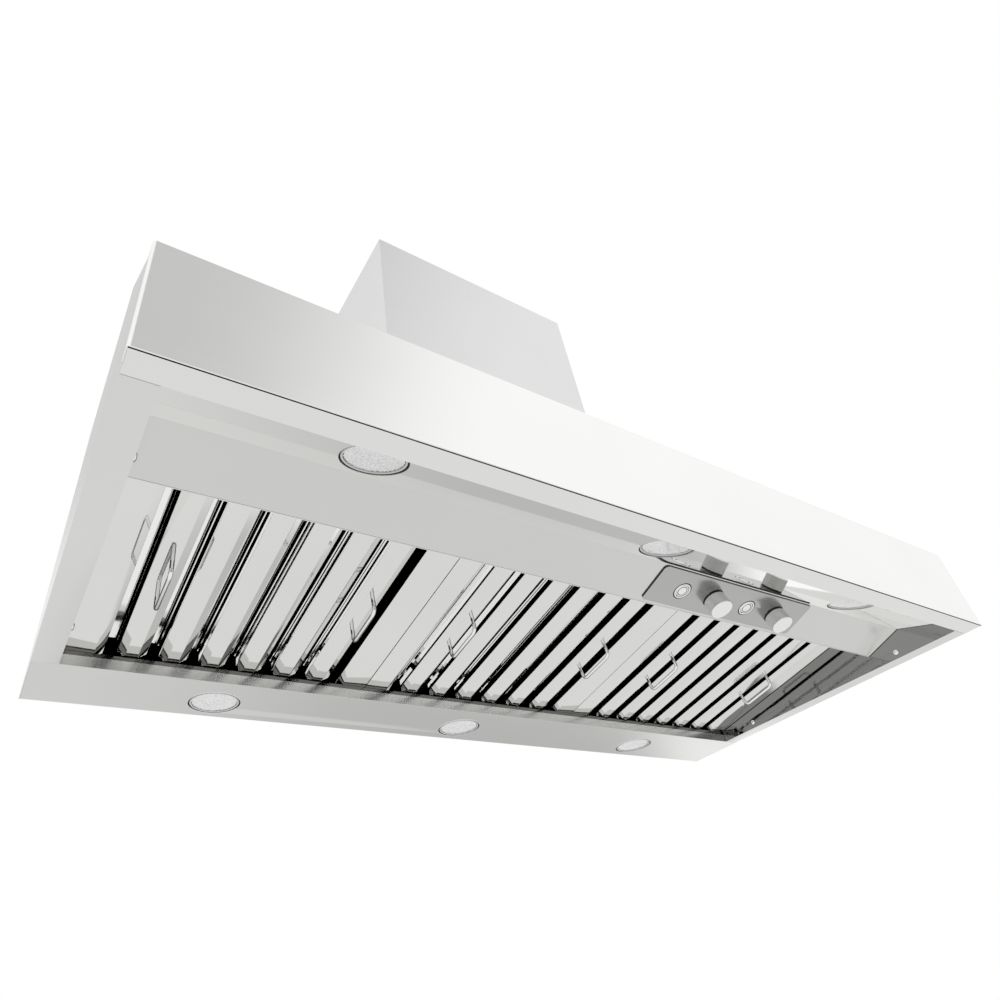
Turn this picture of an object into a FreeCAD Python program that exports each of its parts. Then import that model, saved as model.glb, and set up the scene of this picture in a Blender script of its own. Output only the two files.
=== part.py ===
import FreeCAD, Part
import math
import os
import re
import Sketcher

# Wall-mounted canopy range hood, 48 in wide, with three baffle filters, six lamps,
# an inlaid control plate, a blower, a damper collar and a duct cover.
#
# Frame: the origin is the centre of the four wall bolts, on the wall plane.
# +X runs to the right along the wall, -Y points out of the wall, +Z is up.
# Inside the script a place is given as (across, from_front, above_rim): across is
# X, from_front is the distance behind the fascia's face, above_rim is the height
# above the bottom rim. place() turns these into the part's own frame.

SIZES = (
    # the canopy's shell
    ("hood_width", 1219.2),         # 48 in
    ("hood_depth", 609.6),          # 24 in
    ("canopy_height", 457.2),       # 18 in
    ("fascia_height", 130.0),
    ("fascia_return", 18.0),        # folded edges of the fascia
    ("fascia_corner", 3.0),         # outside bend radius of its ends
    ("crown_depth", 304.8),         # flat top of the canopy, 12 in
    ("crown_flange", 12.0),
    ("skin", 1.2),                  # thickness of the shell's sheet
    ("seam", 0.4),                  # open joint between neighbouring sheets
    # wall bolts and the cable's way in
    ("bolt_height", 304.8),         # centre of the bolts above the rim
    ("bolt_spacing_across", 812.8),
    ("bolt_spacing_up", 203.2),
    ("bolt_hole_radius", 4.5),
    ("knockout_radius", 11.1),
    # the bottom rim
    ("rim_front", 28.3),            # width of the front strip
    ("rim_side", 29.0),
    ("rim_rear", 108.4),            # width of the rear strip, which carries lamps
    ("front_reveal", 2.4),          # shadow gap behind the fascia's lower edge
    ("front_flange", 14.0),
    ("front_lip", 16.1),
    ("side_lip", 20.0),
    ("rear_lip", 13.6),
    ("rear_flange", 15.0),
    # the inner side walls and their screws
    ("liner_height", 110.0),
    ("liner_screw_from_front", 125.0),
    ("liner_screw_from_rear", 73.6),    # from the rear strip's lip
    ("liner_screw_height", 10.4),
    ("screw_radius", 2.0),
    ("screw_hole_radius", 2.25),
    ("screw_length", 9.0),
    ("screw_head_radius", 4.6),
    ("screw_head_height", 2.6),
    ("screw_socket_radius", 1.5),
    ("screw_socket_depth", 1.4),
    # the sloped lamp panel and control panel
    ("light_panel_length", 83.0),
    ("light_slope", 19.1),
    ("control_panel_length", 65.5),
    ("control_slope", 17.4),
    ("control_cover_height", 108.0),
    # the control plate and what it carries
    ("plate_width", 307.0),
    ("plate_length", 59.0),
    ("plate_from_crease", 3.0),
    ("plate_corner", 6.0),
    ("plate_gap", 0.7),
    ("plate_from_side", 413.2),     # centre of the plate, from the right-hand side
    ("plate_tuck", 6.0),            # how far its backing reaches past the window
    ("control_row", 34.4),          # centre line of the controls, from the crease
    ("button_offset", 97.5),        # first button, left of the plate's centre
    ("group_offset", 132.0),        # from the light controls to the fan controls
    ("knob_offset", 34.6),          # first knob, left of the plate's centre
    ("knob_radius", 15.85),
    ("knob_height", 21.0),
    ("knob_gap", 1.2),
    ("knob_chamfer", 0.8),
    ("knob_bore_depth", 14.0),
    ("shaft_radius", 3.0),
    ("shaft_clearance", 0.05),
    ("shaft_end", 13.0),
    ("bush_radius", 4.6),
    ("bush_hole_radius", 5.0),
    ("switch_radius", 9.5),
    ("switch_depth", 16.0),
    ("button_hole_radius", 13.6),
    ("bezel_radius", 12.4),
    ("bezel_flange_radius", 16.0),
    ("bezel_proud", 0.8),
    ("bezel_flange", 1.5),
    ("button_radius", 9.4),
    ("button_clearance", 0.4),
    ("button_height", 4.5),
    ("button_travel", 1.8),
    ("stem_radius", 3.5),
    ("stem_end", 16.0),
    ("push_switch_radius", 13.0),
    ("push_switch_depth", 22.0),
    # lamps
    ("front_light_row", 44.5),      # from the lamp panel's front edge
    ("rear_light_row", 46.8),       # from the wall
    ("light_hole_radius", 33.4),
    ("ring_radius", 32.6),
    ("ring_inner_radius", 28.8),
    ("ring_wall", 2.4),
    ("ring_proud", 0.7),
    ("ring_height", 7.0),
    ("lens_thickness", 3.2),
    ("lens_recess", 0.8),
    ("lens_gap", 0.2),
    ("lamp_gap", 0.3),
    ("lamp_flange_radius", 37.5),
    ("lamp_wall", 1.6),
    ("lamp_height", 26.0),
    ("lamp_cavity_radius", 29.5),
    # baffle filters
    ("filter_count", 3),
    ("filter_side_gap", 0.6),
    ("filter_joint_gap", 1.0),
    ("filter_setback", 25.0),       # upper end, behind the control panel's edge
    ("filter_height", 33.1),
    ("filter_slope", 10.0),
    ("filter_rear_height", 18.6),
    ("filter_rear_overlap", 8.0),
    ("filter_gap", 0.3),            # rest gap between a filter and what carries it
    ("baffle_skin", 0.8),
    ("baffle_count", 6),
    ("baffle_flat", 14.0),
    ("baffle_chamfer_run", 9.5),
    ("baffle_chamfer_rise", 5.5),
    ("upper_chamfer_rise", 7.4),    # the upper row is folded more steeply
    ("baffle_depth", 20.0),
    ("rail_flat", 32.7),
    ("end_wall_return", 12.0),
    ("handle_wire_radius", 2.5),
    ("handle_span", 63.0),
    ("handle_drop", 25.0),
    ("handle_bend", 8.0),
    ("ledge_overlap", 12.0),
    # grease tray
    ("tray_inset", 13.0),
    ("tray_width", 20.0),
    ("tray_rear_height", 12.0),
    ("tray_gap", 0.3),
    # blower
    ("blower_height", 285.0),
    ("blower_from_wall", 164.0),
    ("blower_width", 250.0),
    ("blower_skin", 1.0),
    ("scroll_start_radius", 113.0),
    ("scroll_end_radius", 148.0),
    ("outlet_flange", 10.0),
    ("inlet_radius", 92.0),
    ("inlet_margin", 12.0),         # from the inlet's edge to the bracket's arm ends
    ("wheel_radius", 104.0),
    ("wheel_inner_radius", 88.0),
    ("wheel_width", 226.0),
    ("wheel_plate", 2.0),
    ("blade_count", 36),
    ("blade_skin", 1.0),
    ("blade_sweep", 4.0),           # degrees that a blade leans from root to tip
    ("hub_radius", 16.0),
    ("hub_length", 24.0),
    ("motor_radius", 46.0),
    ("motor_length", 96.0),
    ("motor_shaft_radius", 6.0),
    ("motor_gap", 4.0),
    ("bracket_arm", 22.0),
    ("bracket_disc_radius", 34.0),
    ("bracket_skin", 2.0),
    # duct collar and damper
    ("collar_radius", 126.0),
    ("collar_height", 50.0),
    ("collar_flange_radius", 142.0),
    ("collar_stop_radius", 118.0),
    ("collar_stop_height", 18.0),
    ("damper_gap", 0.3),
    ("damper_radius", 121.5),
    ("damper_skin", 1.0),
    ("damper_pin_radius", 2.0),
    ("damper_pin_offset", 6.0),
    ("knuckle_radius", 4.5),
    ("knuckle_length", 200.0),
    # duct cover and its wall bracket
    ("cover_width", 447.0),
    ("cover_height", 412.5),
    ("cover_return", 18.0),
    ("cover_bracket_drop", 12.0),
    ("cover_bracket_height", 34.0),
    ("cover_bracket_shelf", 24.0),
    ("cover_screw_spacing", 300.0),
    ("cover_screw_radius", 2.5),
    # wiring box and lamp driver on the back panel
    ("box_width", 110.0),
    ("box_height", 70.0),
    ("box_depth", 44.0),
    ("box_skin", 1.5),
    ("box_from_side", 259.6),
    ("box_above_rim", 400.0),
    ("box_cover_lap", 4.0),
    ("driver_width", 130.0),
    ("driver_height", 46.0),
    ("driver_depth", 30.0),
    ("driver_from_side", 259.6),
    ("driver_above_rim", 395.0),
    ("driver_ear", 14.0),
    ("driver_ear_skin", 2.0),
)

doc = FreeCAD.newDocument("range_hood")
sheet = doc.addObject("Spreadsheet::Sheet", "Sizes")
for row, (alias, number) in enumerate(SIZES, start=1):
    sheet.set("A%d" % row, alias)
    sheet.set("B%d" % row, str(number))
    sheet.setAlias("B%d" % row, alias)
doc.recompute()

ALIASES = re.compile(r"\b(" + "|".join(alias for alias, number in SIZES) + r")\b")
SUBPARTS = []


# ---------------------------------------------------------------- expressions

def bound(text):
    """Point every size in an expression at its cell."""
    return ALIASES.sub(r"Sizes.\1", text)


def number(text):
    """The present value of an expression."""
    result = sheet.evalExpression(bound(text))
    return float(getattr(result, "Value", result))


def bind(item, path, text):
    item.setExpression(path, bound(text))


def heading_of(rise, run):
    """The heading of a slope in degrees, as a plain number."""
    return "(atan((" + rise + ")/(" + run + "))/1deg)"


# ---------------------------------------------------------------- places

REAR_STRIP = "(hood_depth - rim_rear)"
CROWN_FRONT = "(hood_depth - crown_depth)"
CREASE_BACK = "(rim_front - skin + light_panel_length*cos(light_slope))"
CREASE_UP = "(front_lip + light_panel_length*sin(light_slope))"
CONTROL_REAR = "(" + CREASE_BACK + " + control_panel_length*cos(control_slope))"
CONTROL_LOW = "(" + CREASE_UP + " - control_panel_length*sin(control_slope))"
LINER_FACE = "(hood_width/2 - rim_side + skin)"
FILTER_REAR = "(" + REAR_STRIP + " + filter_rear_overlap)"
FILTER_FRONT = "(" + CONTROL_REAR + " + filter_setback)"
FILTER_LENGTH = "((" + FILTER_REAR + " - " + FILTER_FRONT + ")/cos(filter_slope))"
FILTER_BACK = "(" + FILTER_REAR + "/2 + " + FILTER_FRONT + "/2)"
FILTER_UP = "(filter_rear_height + " + FILTER_LENGTH + "/2*sin(filter_slope))"
FILTER_ROOM = "(hood_width - 2*rim_side - 2*filter_side_gap)"
FILTER_PITCH = "((" + FILTER_ROOM + " + filter_joint_gap)/filter_count)"
FILTER_WIDTH = "(" + FILTER_PITCH + " - filter_joint_gap)"
BAFFLE_WIDTH = "(baffle_flat + 2*baffle_chamfer_run)"
BAFFLE_ROOM = "(" + FILTER_WIDTH + " - 2*rail_flat - 2*baffle_chamfer_run)"
BAFFLE_PITCH = "((" + BAFFLE_ROOM + " + " + BAFFLE_WIDTH + ")/(baffle_count + 1))"
BAFFLE_SPAN = "(" + BAFFLE_PITCH + "*(baffle_count - 1))"
LEDGE_REAR = "(" + FILTER_FRONT + " + ledge_overlap)"
TRAY_FRONT = "(" + REAR_STRIP + " + skin + tray_gap)"
PLATE_BACK = "(2*skin)"
PLATE_ACROSS = "(hood_width/2 - plate_from_side)"
LINER_SCREW_SPAN = "(" + REAR_STRIP + " - liner_screw_from_rear - liner_screw_from_front)"
BOX_ACROSS = "(box_from_side - hood_width/2)"
BOX_MIDDLE = "(skin + box_depth/2)"
DRIVER_ACROSS = "(hood_width/2 - driver_from_side)"
COLLAR_BACK = "(hood_depth - crown_depth/2)"
PIN_RISE = "(collar_stop_height + skin + damper_gap + knuckle_radius)"
DAMPER_UP = "(canopy_height + " + PIN_RISE + ")"


def under_filter(from_front):
    """Height of the filters' underside above the rim, less the rest gap."""
    run = "(" + FILTER_REAR + " - " + from_front + ")"
    return "(filter_rear_height + " + run + "*tan(filter_slope) - filter_gap/cos(filter_slope))"


def place(item, across="0", from_front="0", above_rim="0", tilt=None):
    """Bind a piece's Placement; tilt turns it about X, in degrees."""
    turn = FreeCAD.Rotation(FreeCAD.Vector(1, 0, 0), number(tilt) if tilt else 0)
    item.Placement = FreeCAD.Placement(FreeCAD.Vector(), turn)
    bind(item, ".Placement.Base.x", across)
    bind(item, ".Placement.Base.y", from_front + " - hood_depth")
    bind(item, ".Placement.Base.z", above_rim + " - bolt_height")
    if tilt:
        bind(item, ".Placement.Rotation.Angle", tilt)


def place_on_control(item, across, from_crease):
    """Place a piece on the sloped control panel; its own +Z points into the hood."""
    back = CREASE_BACK + " + " + from_crease + "*cos(control_slope)"
    up = CREASE_UP + " - " + from_crease + "*sin(control_slope)"
    place(item, across, back, up, "-control_slope")


# ---------------------------------------------------------------- modelling

def new_body(label):
    body = doc.addObject("PartDesign::Body", label)
    body.Label = label
    body.AllowCompound = True
    SUBPARTS.append(body)
    return body


def origin_feature(body, role):
    return next(item for item in body.Origin.OriginFeatures if item.Role == role)


def new_sketch(body, plane, lift=None):
    """A sketch on one of the body's origin planes, lifted along its normal."""
    sketch = body.newObject("Sketcher::SketchObject", body.Label + "_sketch")
    sketch.AttachmentSupport = [(origin_feature(body, plane), "")]
    sketch.MapMode = "FlatFace"
    if lift:
        bind(sketch, ".AttachmentOffset.Base.z", lift)
    return sketch


def draw_outline(sketch, corners):
    """A closed outline of straight lines with every corner bound to the sheet."""
    first = sketch.GeometryCount
    count = len(corners)
    points = [FreeCAD.Vector(number(a), number(b), 0) for a, b in corners]
    for index in range(count):
        sketch.addGeometry(Part.LineSegment(points[index], points[(index + 1) % count]))
    for index in range(count):
        following = first + (index + 1) % count
        sketch.addConstraint(Sketcher.Constraint("Coincident", first + index, 2, following, 1))
    for index, (across, up) in enumerate(corners):
        for kind, text in (("DistanceX", across), ("DistanceY", up)):
            rule = Sketcher.Constraint(kind, -1, 1, first + index, 1, number(text))
            bind(sketch, "Constraints[%d]" % sketch.addConstraint(rule), text)


def draw_box(sketch, low_a, high_a, low_b, high_b):
    corners = ((low_a, low_b), (high_a, low_b), (high_a, high_b), (low_a, high_b))
    draw_outline(sketch, corners)


def draw_circle(sketch, across, up, radius):
    centre = FreeCAD.Vector(number(across), number(up), 0)
    circle = sketch.addGeometry(Part.Circle(centre, FreeCAD.Vector(0, 0, 1), number(radius)))
    rules = (("DistanceX", across), ("DistanceY", up))
    for kind, text in rules:
        rule = Sketcher.Constraint(kind, -1, 1, circle, 3, number(text))
        bind(sketch, "Constraints[%d]" % sketch.addConstraint(rule), text)
    rule = Sketcher.Constraint("Radius", circle, number(radius))
    bind(sketch, "Constraints[%d]" % sketch.addConstraint(rule), radius)


def strip_corners(start, runs, thickness):
    """Corners of a folded strip: a start point and (length, heading) runs.

    The thickness lies to the left of the way the strip runs, and each fold is
    mitred, so both faces stay parallel.
    """
    face = [start]
    for length, heading in runs:
        a, b = face[-1]
        face.append((a + " + " + length + "*cos(" + heading + ")",
                     b + " + " + length + "*sin(" + heading + ")"))
    headings = [heading for length, heading in runs]
    before = [headings[0]] + headings
    after = headings + [headings[-1]]
    back = []
    for (a, b), arrive, leave in zip(face, before, after):
        middle = "((" + arrive + ") + (" + leave + "))/2"
        miter = "cos(((" + leave + ") - (" + arrive + "))/2)"
        back.append((a + " - " + thickness + "*sin(" + middle + ")/" + miter,
                     b + " + " + thickness + "*cos(" + middle + ")/" + miter))
    return face + back[::-1]


def pad(body, sketch, length, symmetric=False, backwards=False):
    feature = body.newObject("PartDesign::Pad", body.Label + "_pad")
    feature.Profile = sketch
    feature.SideType = "Symmetric" if symmetric else "One side"
    feature.Reversed = backwards
    bind(feature, "Length", length)
    doc.recompute()
    return feature


def pocket(body, sketch, length, symmetric=False, backwards=False):
    """Cut a sketch out of the body, and make sure that it did cut."""
    volume = body.Shape.Volume
    feature = body.newObject("PartDesign::Pocket", body.Label + "_pocket")
    feature.Profile = sketch
    feature.SideType = "Symmetric" if symmetric else "One side"
    feature.Reversed = backwards
    bind(feature, "Length", length)
    doc.recompute()
    if body.Shape.Volume >= volume:
        raise RuntimeError(body.Label + ": a pocket cuts nothing")
    return feature


def revolve(body, sketch, axis="V_Axis"):
    feature = body.newObject("PartDesign::Revolution", body.Label + "_turned")
    feature.Profile = sketch
    feature.ReferenceAxis = (sketch, [axis])
    feature.Angle = 360
    doc.recompute()
    return feature


def repeat(body, features, role, length, count):
    """Repeat features along an origin axis; length spans first to last."""
    feature = body.newObject("PartDesign::LinearPattern", body.Label + "_row")
    feature.Originals = features
    feature.Direction = (origin_feature(body, role), [""])
    bind(feature, "Length", length)
    bind(feature, "Occurrences", count)
    body.Tip = feature
    doc.recompute()
    return feature


def turn_around(body, features, role, count):
    feature = body.newObject("PartDesign::PolarPattern", body.Label + "_ring")
    feature.Originals = features
    feature.Axis = (origin_feature(body, role), [""])
    feature.Angle = 360
    bind(feature, "Occurrences", count)
    body.Tip = feature
    doc.recompute()
    return feature


def mirror(body, features, role):
    feature = body.newObject("PartDesign::Mirrored", body.Label + "_mirrored")
    feature.Originals = features
    feature.MirrorPlane = (origin_feature(body, role), [""])
    body.Tip = feature
    doc.recompute()
    return feature


def folded_strip(label, start, runs, thickness, width):
    """A sheet folded along X: its section in (from_front, above_rim), made width long."""
    body = new_body(label)
    section = new_sketch(body, "YZ_Plane")
    draw_outline(section, strip_corners(start, runs, thickness))
    pad(body, section, width, symmetric=True)
    place(body)
    return body


def turned(label, corners):
    """A body of revolution about its own Z, from (radius, height) corners."""
    body = new_body(label)
    section = new_sketch(body, "XZ_Plane")
    draw_outline(section, corners)
    revolve(body, section)
    return body


# ---------------------------------------------------------------- canopy shell

def make_fascia():
    body = new_body("front_fascia")
    outside = new_sketch(body, "XY_Plane")
    draw_box(outside, "-hood_width/2", "hood_width/2", "0", "fascia_return")
    block = pad(body, outside, "fascia_height")
    upright = [
        "Edge%d" % (index + 1)
        for index, edge in enumerate(block.Shape.Edges)
        if abs(edge.Vertexes[0].X - edge.Vertexes[-1].X) < 1e-6
        and max(vertex.Y for vertex in edge.Vertexes) < 1e-6
    ]
    bend = body.newObject("PartDesign::Fillet", "front_fascia_bend")
    bend.Base = (block, upright)
    bind(bend, "Radius", "fascia_corner")
    doc.recompute()
    inside = new_sketch(body, "XY_Plane")
    draw_box(inside, "skin - hood_width/2", "hood_width/2 - skin", "skin", "fascia_return + skin")
    pocket(body, inside, "fascia_height - skin", backwards=True)
    place(body)


def make_side_panel(side, sign):
    """One outer side with its folded rim: sign is -1 on the left, 1 on the right."""
    body = new_body(side + "_side_panel")
    outline = new_sketch(body, "YZ_Plane")
    draw_outline(outline, (
        ("fascia_return", "0"),
        ("hood_depth", "0"),
        ("hood_depth", "canopy_height"),
        (CROWN_FRONT, "canopy_height"),
        ("fascia_return", "fascia_height"),
    ))
    pad(body, outline, "skin", backwards=sign > 0)
    rim = new_sketch(body, "XZ_Plane", "-(rim_front + seam)")
    corners = strip_corners(("0", "0"), (("rim_side", "0"), ("side_lip", "90")), "skin")
    if sign > 0:
        corners = [("-(" + a + ")", b) for a, b in corners]
    draw_outline(rim, corners)
    pad(body, rim, REAR_STRIP + " - rim_front - 2*seam", backwards=True)
    holes = new_sketch(body, "YZ_Plane", ("-" if sign > 0 else "") + "(rim_side - 2*skin)")
    for turn in ("0", LINER_SCREW_SPAN):
        draw_circle(holes, "liner_screw_from_front + " + turn, "liner_screw_height", "screw_hole_radius")
    pocket(body, holes, "2*skin", backwards=sign < 0)
    outer = ("-" if sign < 0 else "") + "hood_width/2"
    place(body, outer)


def make_shell():
    make_fascia()
    folded_strip(
        "front_rail",
        ("front_reveal", "front_flange"),
        (("front_flange", "-90"), ("(rim_front - front_reveal)", "0"), ("front_lip", "90")),
        "skin", "hood_width - 2*skin")
    make_side_panel("left", -1)
    make_side_panel("right", 1)

    slope_run = "(" + CROWN_FRONT + " - fascia_return)"
    slope_rise = "(canopy_height - fascia_height)"
    slope_length = "sqrt(pow(" + slope_run + ";2) + pow(" + slope_rise + ";2))"
    slope_angle = "180 + " + heading_of(slope_rise, slope_run)
    folded_strip(
        "canopy_slope",
        (CROWN_FRONT + " + crown_flange", "canopy_height - skin"),
        (("crown_flange", "180"), (slope_length, slope_angle),
         ("(fascia_return - skin - seam)", "180")),
        "skin", "hood_width - 2*skin - 2*seam")

    crown = new_body("crown_panel")
    outline = new_sketch(crown, "XY_Plane", "-skin")
    draw_box(outline, "skin + seam - hood_width/2", "hood_width/2 - skin - seam",
             "-crown_depth", "-skin")
    draw_circle(outline, "0", "-crown_depth/2", "collar_radius + seam")
    draw_circle(outline, BOX_ACROSS, "-" + BOX_MIDDLE, "knockout_radius")
    pad(crown, outline, "skin")
    place(crown, "0", "hood_depth", "canopy_height")

    back = new_body("back_panel")
    outline = new_sketch(back, "XZ_Plane")
    draw_box(outline, "skin + seam - hood_width/2", "hood_width/2 - skin - seam",
             "skin", "canopy_height - skin")
    for across in ("-bolt_spacing_across/2", "bolt_spacing_across/2"):
        for up in ("-bolt_spacing_up/2", "bolt_spacing_up/2"):
            draw_circle(outline, across, "bolt_height + " + up, "bolt_hole_radius")
    pad(back, outline, "skin")
    place(back, "0", "hood_depth")


def make_rear_rail():
    body = new_body("rear_rail")
    section = new_sketch(body, "YZ_Plane")
    draw_outline(section, strip_corners(
        (REAR_STRIP, "rear_lip"),
        (("rear_lip", "-90"), ("(rim_rear - skin)", "0"), ("rear_flange", "90")), "skin"))
    pad(body, section, "hood_width - 2*skin", symmetric=True)
    holes = new_sketch(body, "XY_Plane")
    for across in ("-" + FILTER_PITCH, "0", FILTER_PITCH):
        draw_circle(holes, across, "hood_depth - rear_light_row", "light_hole_radius")
    pocket(body, holes, "2*skin", backwards=True)
    place(body)


def make_liner(side, sign):
    """The inner side wall, screwed to the rim's lip."""
    body = new_body(side + "_liner")
    outline = new_sketch(body, "YZ_Plane")
    draw_box(outline, "rim_front + seam", REAR_STRIP + " - seam", "skin", "skin + liner_height")
    for turn in ("0", LINER_SCREW_SPAN):
        draw_circle(outline, "liner_screw_from_front + " + turn, "liner_screw_height",
                    "screw_hole_radius")
    pad(body, outline, "skin", backwards=sign < 0)
    place(body, ("-" if sign < 0 else "") + LINER_FACE)

    screws = new_body(side + "_liner_screws")
    section = new_sketch(screws, "XY_Plane")
    corners = (
        ("screw_socket_depth - screw_head_height", "0"),
        ("screw_length", "0"),
        ("screw_length", "screw_radius"),
        ("0", "screw_radius"),
        ("0", "screw_head_radius"),
        ("-screw_head_height/3", "screw_head_radius"),
        ("-screw_head_height", "screw_head_radius*0.6"),
        ("-screw_head_height", "screw_socket_radius"),
        ("screw_socket_depth - screw_head_height", "screw_socket_radius"),
    )
    if sign < 0:
        corners = [("-(" + a + ")", b) for a, b in corners]
    draw_outline(section, corners)
    screw = revolve(screws, section, "H_Axis")
    repeat(screws, [screw], "Y_Axis", LINER_SCREW_SPAN, "2")
    lip_face = "(hood_width/2 - rim_side)"
    place(screws, ("-" if sign < 0 else "") + lip_face, "liner_screw_from_front",
          "liner_screw_height")


# ---------------------------------------------------------------- lamp and control panels

def make_inner_front():
    inner_width = "(hood_width - 2*rim_side - 2*seam)"
    lamps = new_body("front_light_panel")
    outline = new_sketch(lamps, "XY_Plane")
    draw_box(outline, "-" + inner_width + "/2", inner_width + "/2", "0", "light_panel_length")
    for across in ("-" + FILTER_PITCH, "0", FILTER_PITCH):
        draw_circle(outline, across, "front_light_row", "light_hole_radius")
    pad(lamps, outline, "skin")
    place(lamps, "0", "rim_front - skin", "front_lip", "light_slope")

    panel = new_body("control_panel")
    outline = new_sketch(panel, "XY_Plane")
    draw_box(outline, "-" + inner_width + "/2", inner_width + "/2", "0", "control_panel_length")
    pad(panel, outline, "skin")
    window = new_sketch(panel, "XY_Plane")
    draw_box(window, PLATE_ACROSS + " - plate_width/2 - plate_gap",
             PLATE_ACROSS + " + plate_width/2 + plate_gap",
             "plate_from_crease - plate_gap", "plate_from_crease + plate_length + plate_gap")
    opening = pocket(panel, window, "skin", backwards=True)
    round_upright(panel, opening, "plate_corner + plate_gap", "control_panel_corners",
                  lambda x, y: number("control_panel_length") - 0.5 > y > 0.5)
    place_on_control(panel, "0", "0")

    folded_strip(
        "filter_front_ledge",
        (LEDGE_REAR, under_filter(LEDGE_REAR)),
        (("(" + LEDGE_REAR + " - " + CONTROL_REAR + " - seam)/cos(filter_slope)",
          "180 - filter_slope"),
         ("(" + under_filter(CONTROL_REAR + " + seam") + " - " + CONTROL_LOW + ")", "270")),
        "skin", inner_width)
    cover_run = "(" + CONTROL_REAR + " + seam - skin)"
    folded_strip(
        "control_box_cover",
        ("skin", "control_cover_height"),
        ((cover_run, "0"),
         ("(control_cover_height - " + under_filter(CONTROL_REAR + " + seam") + ")", "-90")),
        "skin", inner_width)


def round_upright(body, base, radius, name, wanted):
    """Round the edges that stand along the body's own Z where wanted(x, y) says so."""
    edges = []
    for index, edge in enumerate(base.Shape.Edges):
        first, last = edge.Vertexes[0], edge.Vertexes[-1]
        if math.hypot(first.X - last.X, first.Y - last.Y) < 1e-6 and wanted(first.X, first.Y):
            edges.append("Edge%d" % (index + 1))
    feature = body.newObject("PartDesign::Fillet", name)
    feature.Base = (base, edges)
    bind(feature, "Radius", radius)
    doc.recompute()
    return feature


def make_control_plate():
    body = new_body("control_plate")
    front = new_sketch(body, "XY_Plane")
    draw_box(front, "-plate_width/2", "plate_width/2", "0", "plate_length")
    face = pad(body, front, "skin")
    round_upright(body, face, "plate_corner", "control_plate_corners", lambda x, y: True)
    backing = new_sketch(body, "XY_Plane", "skin")
    draw_box(backing, "-plate_width/2 - plate_tuck", "plate_width/2 + plate_tuck",
             "-plate_from_crease/2", "plate_length + plate_from_crease/2")
    pad(body, backing, "skin")
    holes = new_sketch(body, "XY_Plane")
    row = "control_row - plate_from_crease"
    for group in ("0", "group_offset"):
        draw_circle(holes, group + " - button_offset", row, "button_hole_radius")
        draw_circle(holes, group + " - knob_offset", row, "bush_hole_radius")
    pocket(body, holes, "3*skin", backwards=True)
    place_on_control(body, PLATE_ACROSS, "plate_from_crease")


def make_push_control(name, group):
    """A button in its bezel with the switch behind it; group is its shift along X."""
    across = PLATE_ACROSS + " - button_offset + " + group
    cap = turned(name + "_button", (
        ("0", "0"),
        ("button_radius - 0.8", "0"),
        ("button_radius", "0.8"),
        ("button_radius", "button_height"),
        ("stem_radius", "button_height"),
        ("stem_radius", "stem_end"),
        ("0", "stem_end"),
    ))
    place_on_control(cap, across, "control_row")


def make_button_bezels():
    hole = "(button_radius + button_clearance)"
    body = turned("button_bezels", (
        (hole, "-bezel_proud/2"),
        ("bezel_radius - 1", "-bezel_proud"),
        ("bezel_radius - 0.4", "-bezel_proud"),
        ("bezel_radius", "-bezel_proud/3"),
        ("bezel_radius", PLATE_BACK),
        ("bezel_flange_radius", PLATE_BACK),
        ("bezel_flange_radius", PLATE_BACK + " + bezel_flange"),
        (hole, PLATE_BACK + " + bezel_flange"),
    ))
    repeat(body, [body.Tip], "X_Axis", "group_offset", "2")
    place_on_control(body, PLATE_ACROSS + " - button_offset", "control_row")


def make_push_switches():
    base = "(" + PLATE_BACK + " + bezel_flange)"
    well = "(button_height + button_travel + 1)"
    body = turned("push_switches", (
        ("button_radius + button_clearance", base),
        ("push_switch_radius", base),
        ("push_switch_radius", "push_switch_depth"),
        ("0", "push_switch_depth"),
        ("0", "stem_end + button_travel + 1"),
        ("stem_radius + button_clearance", "stem_end + button_travel + 1"),
        ("stem_radius + button_clearance", well),
        ("button_radius + button_clearance", well),
    ))
    repeat(body, [body.Tip], "X_Axis", "group_offset", "2")
    place_on_control(body, PLATE_ACROSS + " - button_offset", "control_row")


def make_knob(name, group):
    across = PLATE_ACROSS + " - knob_offset + " + group
    knob = turned(name + "_knob", (
        ("shaft_radius", "-knob_gap"),
        ("knob_radius - knob_chamfer", "-knob_gap"),
        ("knob_radius", "-knob_gap - knob_chamfer"),
        ("knob_radius", "knob_chamfer - knob_height"),
        ("knob_radius - knob_chamfer", "-knob_height"),
        ("0", "-knob_height"),
        ("0", "-knob_gap - knob_bore_depth"),
        ("shaft_radius", "-knob_gap - knob_bore_depth"),
    ))
    place_on_control(knob, across, "control_row")
    shaft = turned(name + "_knob_shaft", (
        ("0", "-knob_gap - knob_bore_depth"),
        ("shaft_radius", "-knob_gap - knob_bore_depth"),
        ("shaft_radius", "shaft_end"),
        ("0", "shaft_end"),
    ))
    place_on_control(shaft, across, "control_row")


def make_rotary_switches():
    bore = "(shaft_radius + shaft_clearance)"
    body = turned("rotary_switches", (
        (bore, "0"),
        ("bush_radius", "0"),
        ("bush_radius", PLATE_BACK),
        ("switch_radius", PLATE_BACK),
        ("switch_radius", "switch_depth"),
        ("0", "switch_depth"),
        ("0", "shaft_end + 1"),
        (bore, "shaft_end + 1"),
    ))
    repeat(body, [body.Tip], "X_Axis", "group_offset", "2")
    place_on_control(body, PLATE_ACROSS + " - knob_offset", "control_row")


# ---------------------------------------------------------------- lamps

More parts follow.
